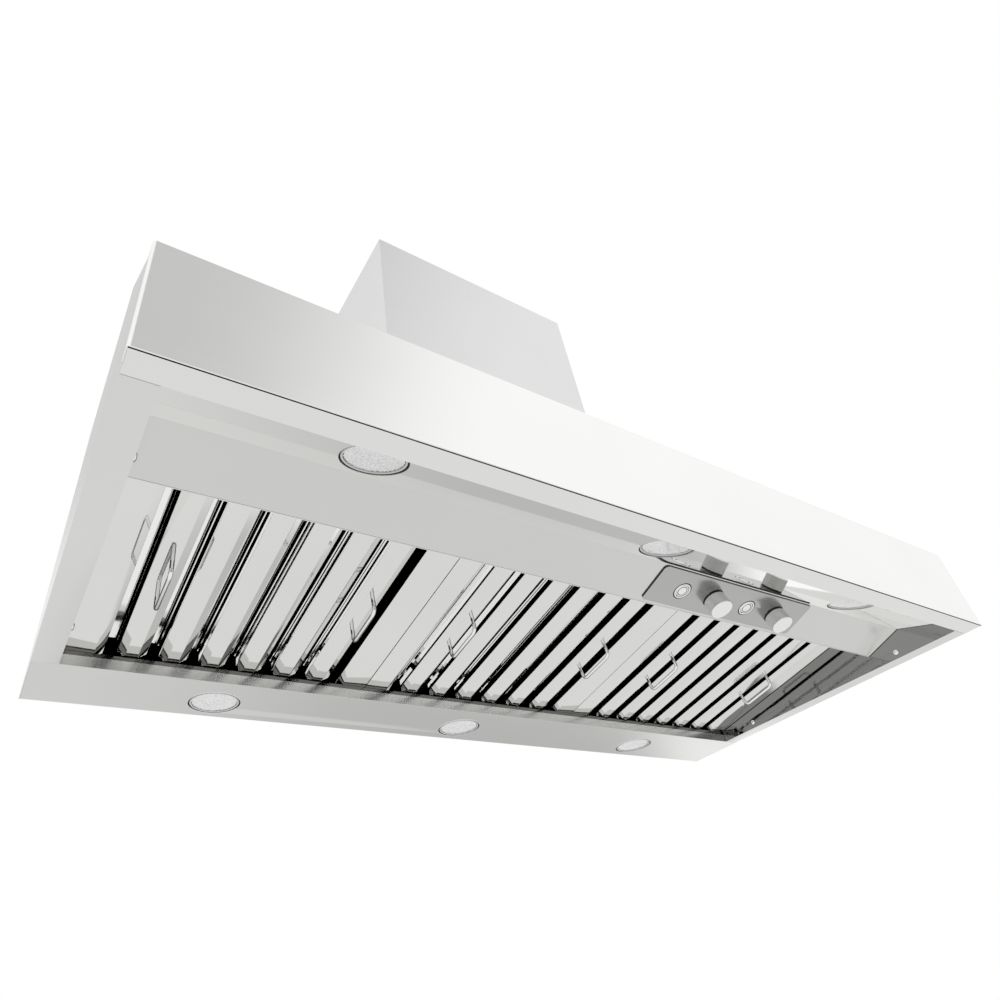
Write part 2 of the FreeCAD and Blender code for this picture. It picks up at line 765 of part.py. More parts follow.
def make_lamps(where, place_row):
    """Three lamps in a row: trim rings, lenses and housings. Own +Z points into the hood."""
    back = "lens_recess + lens_thickness"
    rings = turned(where + "_light_rings", (
        ("ring_inner_radius", "-ring_proud/2"),
        ("ring_inner_radius + 0.8", "-ring_proud"),
        ("ring_radius - 0.7", "-ring_proud"),
        ("ring_radius", "0"),
        ("ring_radius", "ring_height"),
        ("ring_radius - ring_wall", "ring_height"),
        ("ring_radius - ring_wall", "lens_recess"),
        ("ring_inner_radius", "lens_recess"),
    ))
    lenses = turned(where + "_light_lenses", (
        ("0", "lens_recess"),
        ("ring_radius - ring_wall - lens_gap", "lens_recess"),
        ("ring_radius - ring_wall - lens_gap", back),
        ("0", back),
    ))
    bore = "(ring_radius + lamp_gap)"
    outside = "(" + bore + " + lamp_wall)"
    housings = turned(where + "_lamp_housings", (
        (bore, "skin"),
        ("lamp_flange_radius", "skin"),
        ("lamp_flange_radius", "2*skin"),
        (outside, "2*skin"),
        (outside, "lamp_height"),
        ("0", "lamp_height"),
        ("0", "lamp_height - lamp_wall"),
        ("lamp_cavity_radius", "lamp_height - lamp_wall"),
        ("lamp_cavity_radius", "ring_height"),
        (bore, "ring_height"),
    ))
    for body in (rings, lenses, housings):
        repeat(body, [body.Tip], "X_Axis", "2*" + FILTER_PITCH, "3")
        place_row(body)


def place_front_lamps(body):
    back = "rim_front - skin + front_light_row*cos(light_slope)"
    up = "front_lip + front_light_row*sin(light_slope)"
    place(body, "-" + FILTER_PITCH, back, up, "light_slope")


def place_rear_lamps(body):
    place(body, "-" + FILTER_PITCH, "hood_depth - rear_light_row")


# ---------------------------------------------------------------- baffle filters

def chamfer_of(rise):
    """Length and heading of a baffle's chamfer that rises so far."""
    length = "sqrt(pow(baffle_chamfer_run;2) + pow(" + rise + ";2))"
    return length, heading_of(rise, "baffle_chamfer_run")


def place_filter(body, across):
    place(body, across, FILTER_BACK, FILTER_UP, "-filter_slope")


def make_filter_frame(name, across):
    """Side rails with a wide chamfered flat, and two end walls that close the baffles."""
    body = new_body(name + "_filter_frame")
    half = "(" + FILTER_WIDTH + "/2)"
    side = new_sketch(body, "XZ_Plane")
    draw_outline(side, strip_corners(
        ("-" + half, "filter_height"),
        (("filter_height", "-90"), ("rail_flat", "0"), chamfer_of("baffle_chamfer_rise")),
        "baffle_skin"))
    rail = pad(body, side, FILTER_LENGTH, symmetric=True)
    mirror(body, [rail], "YZ_Plane")
    end = new_sketch(body, "YZ_Plane")
    draw_outline(end, strip_corners(
        (FILTER_LENGTH + "/2", "0"),
        (("filter_height", "90"), ("end_wall_return", "180")),
        "baffle_skin"))
    rear = pad(body, end, FILTER_WIDTH, symmetric=True)
    mirror(body, [rear], "XZ_Plane")
    place_filter(body, across)


def make_baffles(name, across):
    """Two rows of chamfered channels that face each other and overlap by half a pitch."""
    length = "(" + FILTER_LENGTH + " - 2*baffle_skin)"
    leg = "(baffle_depth - baffle_chamfer_rise)"
    chamfer, heading = chamfer_of("baffle_chamfer_rise")
    runs = ((leg, "-90"), (chamfer, "-" + heading), ("baffle_flat", "0"),
            (chamfer, heading), (leg, "90"))
    lower = new_body(name + "_filter_lower_baffles")
    section = new_sketch(lower, "XZ_Plane")
    start = ("-" + BAFFLE_SPAN + "/2 - " + BAFFLE_WIDTH + "/2", "baffle_depth")
    draw_outline(section, strip_corners(start, runs, "baffle_skin"))
    channel = pad(lower, section, length, symmetric=True)
    repeat(lower, [channel], "X_Axis", BAFFLE_SPAN, "baffle_count")
    place_filter(lower, across)

    upper = new_body(name + "_filter_upper_baffles")
    section = new_sketch(upper, "XZ_Plane")
    leg = "(baffle_depth - upper_chamfer_rise)"
    chamfer, heading = chamfer_of("upper_chamfer_rise")
    runs = ((leg, "90"), (chamfer, heading), ("baffle_flat", "0"),
            (chamfer, "-" + heading), (leg, "-90"))
    top = "(filter_height - 2*baffle_skin)"
    row = "(" + BAFFLE_SPAN + " + " + BAFFLE_PITCH + ")"
    start = ("-" + row + "/2 - " + BAFFLE_WIDTH + "/2", top + " - baffle_depth")
    draw_outline(section, strip_corners(start, runs, "baffle_skin"))
    channel = pad(upper, section, length, symmetric=True)
    repeat(upper, [channel], "X_Axis", row, "baffle_count + 1")
    place_filter(upper, across)


def make_handles(name, across):
    """Two wire handles under a filter, bent into a U and fixed to its outer baffles."""
    body = new_body(name + "_filter_handles")
    half = number("handle_span/2")
    drop = number("handle_drop")
    bend = number("handle_bend")
    path = new_sketch(body, "YZ_Plane")
    corners = ((-half, 0), (-half, bend - drop), (bend - half, -drop),
               (half - bend, -drop), (half, bend - drop), (half, 0))
    points = [FreeCAD.Vector(a, b, 0) for a, b in corners]
    path.addGeometry(Part.LineSegment(points[0], points[1]))
    path.addGeometry(Part.ArcOfCircle(
        Part.Circle(FreeCAD.Vector(bend - half, bend - drop, 0), FreeCAD.Vector(0, 0, 1), bend),
        math.pi, 1.5*math.pi))
    path.addGeometry(Part.LineSegment(points[2], points[3]))
    path.addGeometry(Part.ArcOfCircle(
        Part.Circle(FreeCAD.Vector(half - bend, bend - drop, 0), FreeCAD.Vector(0, 0, 1), bend),
        -0.5*math.pi, 0))
    path.addGeometry(Part.LineSegment(points[4], points[5]))
    # each run meets its bend tangentially
    for one, one_end, other, other_end in ((0, 2, 1, 1), (1, 2, 2, 1), (2, 2, 3, 1), (3, 2, 4, 1)):
        path.addConstraint(Sketcher.Constraint("Tangent", one, one_end, other, other_end))
    path.addConstraint(Sketcher.Constraint("Vertical", 0))
    path.addConstraint(Sketcher.Constraint("Vertical", 4))
    path.addConstraint(Sketcher.Constraint("Equal", 1, 3))
    for kind, line, end, text in (
            ("DistanceX", 0, 1, "-handle_span/2"), ("DistanceY", 0, 1, "0"),
            ("DistanceX", 4, 2, "handle_span/2"), ("DistanceY", 4, 2, "0"),
            ("DistanceY", 2, 1, "-handle_drop")):
        rule = Sketcher.Constraint(kind, -1, 1, line, end, number(text))
        bind(path, "Constraints[%d]" % path.addConstraint(rule), text)
    rule = Sketcher.Constraint("Radius", 1, bend)
    bind(path, "Constraints[%d]" % path.addConstraint(rule), "handle_bend")
    wire = new_sketch(body, "XY_Plane")
    draw_circle(wire, "0", "-handle_span/2", "handle_wire_radius")
    doc.recompute()
    pipe = body.newObject("PartDesign::AdditivePipe", body.Label + "_wire")
    pipe.Profile = wire
    pipe.Spine = (path, [])
    body.Tip = pipe
    doc.recompute()
    repeat(body, [pipe], "X_Axis", BAFFLE_SPAN, "2")
    place_filter(body, across + " - " + BAFFLE_SPAN + "/2")


# ---------------------------------------------------------------- grease tray

def make_grease_tray():
    """A gutter behind the rear lip; its front wall carries the filters."""
    body = new_body("grease_tray")
    top = under_filter(TRAY_FRONT)
    length = "(hood_width - 2*rim_side - 2*tray_inset)"
    section = new_sketch(body, "YZ_Plane")
    draw_outline(section, strip_corners(
        (TRAY_FRONT, top),
        (("(" + top + " - skin)", "-90"), ("tray_width", "0"), ("tray_rear_height", "90")),
        "skin"))
    pad(body, section, length, symmetric=True)
    end = new_sketch(body, "YZ_Plane", length + "/2 - skin")
    draw_box(end, TRAY_FRONT, TRAY_FRONT + " + tray_width", "skin", "skin + tray_rear_height")
    wall = pad(body, end, "skin")
    mirror(body, [wall], "YZ_Plane")
    place(body)


# ---------------------------------------------------------------- blower

def scroll_face(extra):
    """The scroll's face: a growing spiral of arcs that opens straight up.

    extra is added to every radius. The spiral runs from the cut-off at the front
    of the outlet, under the wheel, to the outlet's back.
    """
    start = number("scroll_start_radius")
    grow = number("scroll_end_radius") - start
    outlet_top = number("canopy_height - skin - blower_height")

    def point(share):
        radius = start + grow*share + extra
        angle = math.pi*(1 + share)
        return FreeCAD.Vector(0, radius*math.cos(angle), radius*math.sin(angle))

    steps = 4
    edges = []
    for index in range(steps):
        low, high = index/steps, (index + 1)/steps
        edges.append(Part.Arc(point(low), point((low + high)/2), point(high)).toShape())
    back, front = point(1), point(0)
    back_top = FreeCAD.Vector(0, back.y, outlet_top)
    front_top = FreeCAD.Vector(0, front.y, outlet_top)
    edges.append(Part.LineSegment(back, back_top).toShape())
    edges.append(Part.LineSegment(back_top, front_top).toShape())
    edges.append(Part.LineSegment(front_top, front).toShape())
    return Part.Face(Part.Wire(edges))


def make_blower_housing():
    """The scroll: a wrapped wall between two inlet plates, with a flange at its outlet."""
    skin = number("blower_skin")
    width = number("blower_width")
    along = FreeCAD.Vector(1, 0, 0)
    outer = scroll_face(skin).extrude(along*width)
    hollow = scroll_face(0).extrude(along*(width - 2*skin))
    outer.translate(along*(-width/2))
    hollow.translate(along*(skin - width/2))
    drop = number("canopy_height - skin - blower_height")
    mouth = scroll_face(0).BoundBox
    slot = Part.makeBox(width - 2*skin, mouth.YLength, 2*skin,
                        FreeCAD.Vector(skin - width/2, mouth.YMin, drop - skin))
    inlets = Part.makeCylinder(number("inlet_radius"), width + 2*skin,
                               along*(-width/2 - skin), along)
    rim = number("outlet_flange")
    flange = Part.makeBox(width + 2*rim, mouth.YLength + 2*rim, skin,
                          FreeCAD.Vector(-width/2 - rim, mouth.YMin - rim, drop - skin))
    shape = outer.fuse(flange).cut(hollow).cut(slot).cut(inlets).removeSplitter()
    housing = doc.addObject("Part::Feature", "blower_housing")
    housing.Label = "blower_housing"
    housing.Shape = shape
    SUBPARTS.append(housing)
    place(housing, "0", "hood_depth - blower_from_wall", "blower_height")


def make_blower_wheel():
    """A double-width wheel: centre disc, two end rings, hub, shaft and leaning blades."""
    body = new_body("blower_wheel")
    disc = new_sketch(body, "YZ_Plane")
    draw_circle(disc, "0", "0", "wheel_radius")
    pad(body, disc, "wheel_plate", symmetric=True)
    hub = new_sketch(body, "YZ_Plane", "-hub_length/2")
    draw_circle(hub, "0", "0", "hub_radius")
    pad(body, hub, "hub_length/2 + motor_gap/2")
    shaft = new_sketch(body, "YZ_Plane")
    draw_circle(shaft, "0", "0", "motor_shaft_radius")
    pad(body, shaft, "motor_gap + motor_length - 4")
    ring = new_sketch(body, "YZ_Plane", "wheel_width/2 - wheel_plate")
    draw_circle(ring, "0", "0", "wheel_radius")
    draw_circle(ring, "0", "0", "wheel_inner_radius")
    end_ring = pad(body, ring, "wheel_plate")
    mirror(body, [end_ring], "YZ_Plane")
    blade = new_sketch(body, "YZ_Plane")
    lean = "blade_sweep"
    middle = "(wheel_radius/2 + wheel_inner_radius/2)"
    draw_outline(blade, (
        ("wheel_inner_radius*cos(" + lean + ")", "-wheel_inner_radius*sin(" + lean + ")"),
        (middle + "*cos(" + lean + "/4)", "-" + middle + "*sin(" + lean + "/4)"),
        ("wheel_radius - 0.5", "0"),
        ("wheel_radius - 0.5", "blade_skin"),
        (middle + "*cos(" + lean + "/4)", "blade_skin - " + middle + "*sin(" + lean + "/4)"),
        ("wheel_inner_radius*cos(" + lean + ")",
         "blade_skin - wheel_inner_radius*sin(" + lean + ")"),
    ))
    first = pad(body, blade, "wheel_width - wheel_plate", symmetric=True)
    turn_around(body, [first], "X_Axis", "blade_count")
    place(body, "0", "hood_depth - blower_from_wall", "blower_height")


def make_blower_motor():
    body = new_body("blower_motor")
    case = new_sketch(body, "YZ_Plane", "motor_gap")
    draw_circle(case, "0", "0", "motor_radius")
    draw_circle(case, "0", "0", "motor_shaft_radius + shaft_clearance")
    pad(body, case, "motor_length")
    place(body, "0", "hood_depth - blower_from_wall", "blower_height")

    bracket = new_body("motor_bracket")
    disc = new_sketch(bracket, "YZ_Plane", "motor_gap + motor_length")
    draw_circle(disc, "0", "0", "bracket_disc_radius")
    pad(bracket, disc, "blower_width/2 - motor_gap - motor_length + bracket_skin")
    arm = new_sketch(bracket, "YZ_Plane", "blower_width/2")
    draw_box(arm, "0", "inlet_radius + inlet_margin", "-bracket_arm/2", "bracket_arm/2")
    first = pad(bracket, arm, "bracket_skin")
    turn_around(bracket, [first], "X_Axis", "3")
    place(bracket, "0", "hood_depth - blower_from_wall", "blower_height")


# ---------------------------------------------------------------- duct collar and damper

def draw_pin_circles(sketch, up, radius):
    for across in ("-damper_pin_offset", "damper_pin_offset"):
        draw_circle(sketch, across, up, radius)


def make_collar():
    inside = "(collar_radius - skin)"
    collar = turned("duct_collar", (
        (inside, "0"),
        ("collar_flange_radius", "0"),
        ("collar_flange_radius", "skin"),
        ("collar_radius", "skin"),
        ("collar_radius", "collar_height"),
        (inside, "collar_height"),
        (inside, "collar_stop_height + skin"),
        ("collar_stop_radius", "collar_stop_height + skin"),
        ("collar_stop_radius", "collar_stop_height"),
        (inside, "collar_stop_height"),
    ))
    holes = new_sketch(collar, "XZ_Plane")
    draw_pin_circles(holes, PIN_RISE, "damper_pin_radius + shaft_clearance")
    pocket(collar, holes, "2*collar_radius + 2", symmetric=True)
    place(collar, "0", COLLAR_BACK, "canopy_height")

    pins = new_body("damper_pins")
    rods = new_sketch(pins, "XZ_Plane")
    draw_pin_circles(rods, "0", "damper_pin_radius")
    pad(pins, rods, "2*collar_radius - skin", symmetric=True)
    place(pins, "0", COLLAR_BACK, DAMPER_UP)


def make_damper_flap(side, sign):
    """Half a disc that hangs on its pin and lies on the collar's stop."""
    body = new_body(side + "_damper_flap")
    plate = new_sketch(body, "XY_Plane", "-knuckle_radius")
    reach = number("damper_radius")
    inner = number("damper_pin_offset")
    half = math.sqrt(reach**2 - inner**2)
    lift = math.atan2(half, inner)
    if sign > 0:
        start, stop = -lift, lift
    else:
        start, stop = math.pi - lift, math.pi + lift
    circle = Part.Circle(FreeCAD.Vector(), FreeCAD.Vector(0, 0, 1), reach)
    arc = plate.addGeometry(Part.ArcOfCircle(circle, start, stop))
    low = FreeCAD.Vector(reach*math.cos(start), reach*math.sin(start), 0)
    high = FreeCAD.Vector(reach*math.cos(stop), reach*math.sin(stop), 0)
    line = plate.addGeometry(Part.LineSegment(high, low))
    plate.addConstraint(Sketcher.Constraint("Coincident", arc, 2, line, 1))
    plate.addConstraint(Sketcher.Constraint("Coincident", line, 2, arc, 1))
    plate.addConstraint(Sketcher.Constraint("Coincident", arc, 3, -1, 1))
    plate.addConstraint(Sketcher.Constraint("Vertical", line))
    rule = Sketcher.Constraint("Radius", arc, reach)
    bind(plate, "Constraints[%d]" % plate.addConstraint(rule), "damper_radius")
    rule = Sketcher.Constraint("DistanceX", -1, 1, line, 1, sign*inner)
    pin = ("-" if sign < 0 else "") + "damper_pin_offset"
    bind(plate, "Constraints[%d]" % plate.addConstraint(rule), pin)
    pad(body, plate, "damper_skin")
    knuckle = new_sketch(body, "XZ_Plane")
    draw_circle(knuckle, pin, "0", "knuckle_radius")
    pad(body, knuckle, "knuckle_length", symmetric=True)
    bore = new_sketch(body, "XZ_Plane")
    draw_circle(bore, pin, "0", "damper_pin_radius + shaft_clearance")
    pocket(body, bore, "2*damper_radius", symmetric=True)
    place(body, "0", COLLAR_BACK, DAMPER_UP)


# ---------------------------------------------------------------- duct cover

def make_duct_cover():
    body = new_body("duct_cover")
    section = new_sketch(body, "XY_Plane")
    draw_outline(section, strip_corners(
        ("cover_return - cover_width/2", "0"),
        (("cover_return", "180"), ("crown_depth", "-90"), ("cover_width", "0"),
         ("crown_depth", "90"), ("cover_return", "180")),
        "skin"))
    pad(body, section, "cover_height")
    place(body, "0", "hood_depth", "canopy_height")

    bracket = new_body("cover_bracket")
    section = new_sketch(bracket, "YZ_Plane")
    draw_outline(section, strip_corners(
        ("-cover_bracket_shelf", "0"),
        (("cover_bracket_shelf", "0"), ("cover_bracket_height", "90")), "skin"))
    pad(bracket, section, "cover_width - 2*cover_return - 2*seam", symmetric=True)
    holes = new_sketch(bracket, "XZ_Plane")
    for across in ("-cover_screw_spacing/2", "cover_screw_spacing/2"):
        draw_circle(holes, across, "cover_bracket_height/2", "cover_screw_radius")
    pocket(bracket, holes, "2*skin", backwards=True, symmetric=True)
    place(bracket, "0", "hood_depth",
          "canopy_height + cover_height - cover_bracket_drop - cover_bracket_height")


# ---------------------------------------------------------------- wiring

def make_wiring():
    box = new_body("junction_box")
    outline = new_sketch(box, "XZ_Plane")
    draw_box(outline, "-box_width/2", "box_width/2", "-box_height/2", "box_height/2")
    pad(box, outline, "box_depth")
    hollow = new_sketch(box, "XZ_Plane", "box_skin")
    draw_box(hollow, "box_skin - box_width/2", "box_width/2 - box_skin",
             "box_skin - box_height/2", "box_height/2 - box_skin")
    pocket(box, hollow, "box_depth", backwards=True)
    inlet = new_sketch(box, "XY_Plane", "box_height/2 - 2*box_skin")
    draw_circle(inlet, "0", "-box_depth/2", "knockout_radius")
    pocket(box, inlet, "3*box_skin", backwards=True)
    place(box, BOX_ACROSS, "hood_depth - skin", "box_above_rim")

    cover = new_body("junction_box_cover")
    outline = new_sketch(cover, "XZ_Plane", "box_depth")
    draw_box(outline, "-box_width/2 - box_skin", "box_width/2 + box_skin",
             "-box_height/2 - box_skin", "box_height/2 + box_skin")
    pad(cover, outline, "box_skin")
    lap = new_sketch(cover, "XZ_Plane", "box_depth - box_cover_lap")
    for low, high in (("-box_width/2 - box_skin", "-box_width/2"),
                      ("box_width/2", "box_width/2 + box_skin")):
        draw_box(lap, low, high, "-box_height/2 - box_skin", "box_height/2 + box_skin")
    pad(cover, lap, "box_cover_lap")
    place(cover, BOX_ACROSS, "hood_depth - skin", "box_above_rim")

    driver = new_body("lamp_driver")
    case = new_sketch(driver, "XZ_Plane")
    draw_box(case, "-driver_width/2", "driver_width/2", "-driver_height/2", "driver_height/2")
    pad(driver, case, "driver_depth")
    ears = new_sketch(driver, "XZ_Plane")
    draw_box(ears, "-driver_width/2 - driver_ear", "driver_width/2 + driver_ear",
             "-driver_height/3", "driver_height/3")
    pad(driver, ears, "driver_ear_skin")
    place(driver, DRIVER_ACROSS, "hood_depth - skin", "driver_above_rim")


# ---------------------------------------------------------------- assembly

make_shell()
make_rear_rail()
for side, sign in (("left", -1), ("right", 1)):
    make_liner(side, sign)
make_inner_front()
make_control_plate()
make_button_bezels()
make_push_switches()
make_rotary_switches()
for name, group in (("light", "0"), ("fan", "group_offset")):
    make_push_control(name, group)
    make_knob(name, group)
make_lamps("front", place_front_lamps)
make_lamps("rear", place_rear_lamps)
for name, across in (("left", "-" + FILTER_PITCH), ("middle", "0"), ("right", FILTER_PITCH)):
    make_filter_frame(name, across)
    make_baffles(name, across)
    make_handles(name, across)
make_grease_tray()
make_blower_housing()
make_blower_wheel()
make_blower_motor()
make_collar()
for side, sign in (("left", -1), ("right", 1)):
    make_damper_flap(side, sign)
make_duct_cover()
make_wiring()

doc.recompute()
for item in doc.Objects:
    if "Invalid" in item.State or "Error" in item.State:
        raise RuntimeError(item.Label + ": " + ", ".join(item.State))
for item in SUBPARTS:
    if item.Shape.isNull() or not item.Shape.isValid():
        raise RuntimeError(item.Label + ": bad shape")

os.makedirs("parts", exist_ok=True)
for item in SUBPARTS:
    item.Shape.exportStep(os.path.join("parts", item.Label + ".step"))
    print(item.Label, len(item.Shape.Solids), round(item.Shape.Volume))
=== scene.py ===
import math

import bmesh
import bpy
from mathutils import Matrix, Vector


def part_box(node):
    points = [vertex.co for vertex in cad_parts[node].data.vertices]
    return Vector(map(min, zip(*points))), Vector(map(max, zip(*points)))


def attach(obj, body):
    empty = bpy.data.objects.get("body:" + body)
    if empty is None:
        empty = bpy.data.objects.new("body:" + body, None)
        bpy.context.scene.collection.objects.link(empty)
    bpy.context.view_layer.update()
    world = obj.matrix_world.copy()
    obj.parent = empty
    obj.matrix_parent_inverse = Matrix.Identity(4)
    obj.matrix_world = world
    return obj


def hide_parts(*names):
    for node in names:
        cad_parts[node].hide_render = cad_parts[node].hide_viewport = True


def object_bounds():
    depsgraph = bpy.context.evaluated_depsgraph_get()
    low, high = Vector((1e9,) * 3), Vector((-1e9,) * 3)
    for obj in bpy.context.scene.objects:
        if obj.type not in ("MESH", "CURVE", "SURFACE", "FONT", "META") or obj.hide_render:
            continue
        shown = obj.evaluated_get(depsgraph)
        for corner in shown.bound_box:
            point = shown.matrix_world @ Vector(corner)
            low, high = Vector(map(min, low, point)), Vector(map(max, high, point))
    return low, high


# Wall-mounted canopy range hood in brushed steel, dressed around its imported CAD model.
# Metres; +X runs right along the wall, -Y points out of the wall, +Z is up.

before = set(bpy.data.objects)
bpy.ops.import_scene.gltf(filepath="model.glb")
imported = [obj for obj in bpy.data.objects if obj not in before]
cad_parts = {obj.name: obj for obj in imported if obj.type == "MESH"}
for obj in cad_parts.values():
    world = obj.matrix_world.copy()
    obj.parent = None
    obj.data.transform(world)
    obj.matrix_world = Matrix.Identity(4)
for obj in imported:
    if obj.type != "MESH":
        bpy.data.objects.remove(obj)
cad_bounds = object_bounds()

MM = 0.001

# The three filters' centres along X, in millimetres, with the centre of their underside.
FILTER_PLACE = {"left": -387, "middle": 0, "right": 387}
FILTER_BACK = -258.483
FILTER_UP = -258.326
FILTER_TILT = math.radians(-10)

# ------------------------------------------------------------------ camera

CAMERA_PLACE = Vector((-0.6205, -0.9810, -0.7219))
CAMERA_RIGHT = Vector((0.83562, -0.53331, -0.13160))
CAMERA_UP = Vector((-0.23539, -0.56411, 0.79144))
CAMERA_LENS = 25.51             # mm on a sensor 36 mm wide
CAMERA_SHIFT = (0.0197, 0.0157)


def place_camera():
    camera = bpy.data.objects.new("camera", bpy.data.cameras.new("camera"))
    bpy.context.scene.collection.objects.link(camera)
    back = CAMERA_RIGHT.cross(CAMERA_UP)
    turn = Matrix((CAMERA_RIGHT, CAMERA_UP, back)).transposed().to_4x4()
    camera.matrix_world = Matrix.Translation(CAMERA_PLACE) @ turn
    camera.data.sensor_width = 36
    camera.data.lens = CAMERA_LENS
    camera.data.shift_x, camera.data.shift_y = CAMERA_SHIFT
    camera.data.clip_start = 0.01
    bpy.context.scene.camera = camera


# ------------------------------------------------------------------ shader nodes

class Nodes:
    """Builds one node tree: makes nodes by type name and links sockets."""

    def __init__(self, tree):
        self.tree = tree

    def add(self, kind, **settings):
        node = self.tree.nodes.new(kind)
        for name, value in settings.items():
            setattr(node, name, value)
        return node

    def set(self, socket, value):
        if isinstance(value, bpy.types.NodeSocket):
            self.tree.links.new(value, socket)
        else:
            socket.default_value = value

    def feed(self, node, **inputs):
        """Links an output to each named input, or sets the input's own value."""
        for name, value in inputs.items():
            self.set(node.inputs[name.replace("_", " ")], value)
        return node

    def math(self, operation, first, second=0.0):
        node = self.add("ShaderNodeMath", operation=operation)
        self.set(node.inputs[0], first)
        self.set(node.inputs[1], second)
        return node.outputs[0]

    def ramp(self, value, from_low, from_high, low, high):
        """Maps a value from one range onto another, smoothly and clamped."""
        node = self.add("ShaderNodeMapRange", interpolation_type="SMOOTHSTEP")
        self.feed(node, Value=value, From_Min=from_low, From_Max=from_high,
                  To_Min=low, To_Max=high)
        return node.outputs[0]


def new_material(name):
    material = bpy.data.materials.new(name)
    material.use_nodes = True
    material.node_tree.nodes.clear()
    nodes = Nodes(material.node_tree)
    shader = nodes.add("ShaderNodeBsdfPrincipled")
    output = nodes.add("ShaderNodeOutputMaterial")
    nodes.tree.links.new(shader.outputs[0], output.inputs[0])
    return material, nodes, shader


def object_place(nodes):
    return nodes.add("ShaderNodeTexCoord").outputs["Object"]


def object_vector(nodes, scale):
    mapping = nodes.add("ShaderNodeMapping")
    return nodes.feed(mapping, Vector=object_place(nodes), Scale=scale).outputs[0]


def split(nodes, vector):
    return nodes.feed(nodes.add("ShaderNodeSeparateXYZ"), Vector=vector).outputs


def grey(nodes, tone, blue=None):
    """A grey of the given tone, or a warmer one where blue is given."""
    colour = nodes.add("ShaderNodeCombineColor")
    return nodes.feed(colour, Red=tone, Green=tone, Blue=blue or tone).outputs[0]


def noise(nodes, vector, detail=2.0, scale=1.0, **more):
    texture = nodes.add("ShaderNodeTexNoise")
    return nodes.feed(texture, Vector=vector, Scale=scale, Detail=detail, **more).outputs[0]


def sockets(tree, kind, *names, in_out="INPUT"):
    for name in names:
        tree.interface.new_socket(name, in_out=in_out, socket_type="NodeSocket" + kind)


def make_grain_group():
    """Brushed grain: fine strokes along the vector's stretched axis, with slow clouding.

    Vector is already stretched, Depth is the bump's distance. Tone multiplies the
    colour, Rough adds to the roughness.
    """
    tree = bpy.data.node_groups.new("brushed_grain", "ShaderNodeTree")
    sockets(tree, "Vector", "Vector")
    sockets(tree, "Float", "Roughness", "Streak", "Depth")
    sockets(tree, "Color", "Colour")
    sockets(tree, "Color", "Colour", in_out="OUTPUT")
    sockets(tree, "Float", "Roughness", in_out="OUTPUT")
    sockets(tree, "Vector", "Normal", in_out="OUTPUT")
    nodes = Nodes(tree)
    given = nodes.add("NodeGroupInput").outputs
    strokes = noise(nodes, given["Vector"], 4.0, Roughness=0.65)
    centred = nodes.math("SUBTRACT", strokes, 0.5)
    cloud = nodes.math("SUBTRACT", noise(nodes, object_place(nodes), scale=5.0), 0.5)
    swing = nodes.math("MULTIPLY", centred, given["Streak"])
    slow = nodes.math("MULTIPLY", cloud, 0.08)
    tone = nodes.math("ADD", nodes.math("ADD", swing, slow), 1.0)
    coloured = nodes.add("ShaderNodeVectorMath", operation="SCALE")
    nodes.feed(coloured, Vector=given["Colour"], Scale=tone)
    rough = nodes.math("ADD", given["Roughness"], nodes.math("MULTIPLY", centred, 0.10))
    rough = nodes.math("ADD", rough, nodes.math("MULTIPLY", cloud, 0.06))
    bump = nodes.add("ShaderNodeBump")
    nodes.feed(bump, Height=strokes, Distance=given["Depth"], Strength=1.0)
    nodes.feed(nodes.add("NodeGroupOutput"), Colour=coloured.outputs[0], Roughness=rough,
               Normal=bump.outputs[0])
    return tree


GRAIN = make_grain_group()


def grained(nodes, shader, colour, roughness, stroke, streak, depth, metallic):
    """Feeds the brushed grain into a shader; stroke is the pattern's scale along X, Y, Z."""
    grain = nodes.add("ShaderNodeGroup", node_tree=GRAIN)
    nodes.feed(grain, Vector=object_vector(nodes, stroke), Roughness=roughness,
               Streak=streak, Depth=depth, Colour=colour)
    nodes.feed(shader, Base_Color=grain.outputs["Colour"], Roughness=grain.outputs["Roughness"],
               Normal=grain.outputs["Normal"], Metallic=metallic)


def brushed_steel(name, colour, roughness, stroke, streak=0.05, depth=2e-6):
    """Steel brushed along the axis in which stroke, the pattern's scale, is small."""
    material, nodes, shader = new_material(name)
    grained(nodes, shader, (*colour, 1), roughness, stroke, streak, depth, 1.0)
    return material


def prismatic_glass(name):
    """An opaque pale silver with a clear coat, standing in for pressed glass over a bright
    reflector.
    """
    material, nodes, shader = new_material(name)
    specks = noise(nodes, object_vector(nodes, (420, 420, 420)))
    colour = grey(nodes, nodes.ramp(specks, 0.35, 0.65, 0.78, 1.0))
    nodes.feed(shader, Base_Color=colour, Metallic=0.75, Coat_Weight=1.0,
               Roughness=nodes.ramp(specks, 0.3, 0.7, 0.10, 0.20))
    return material


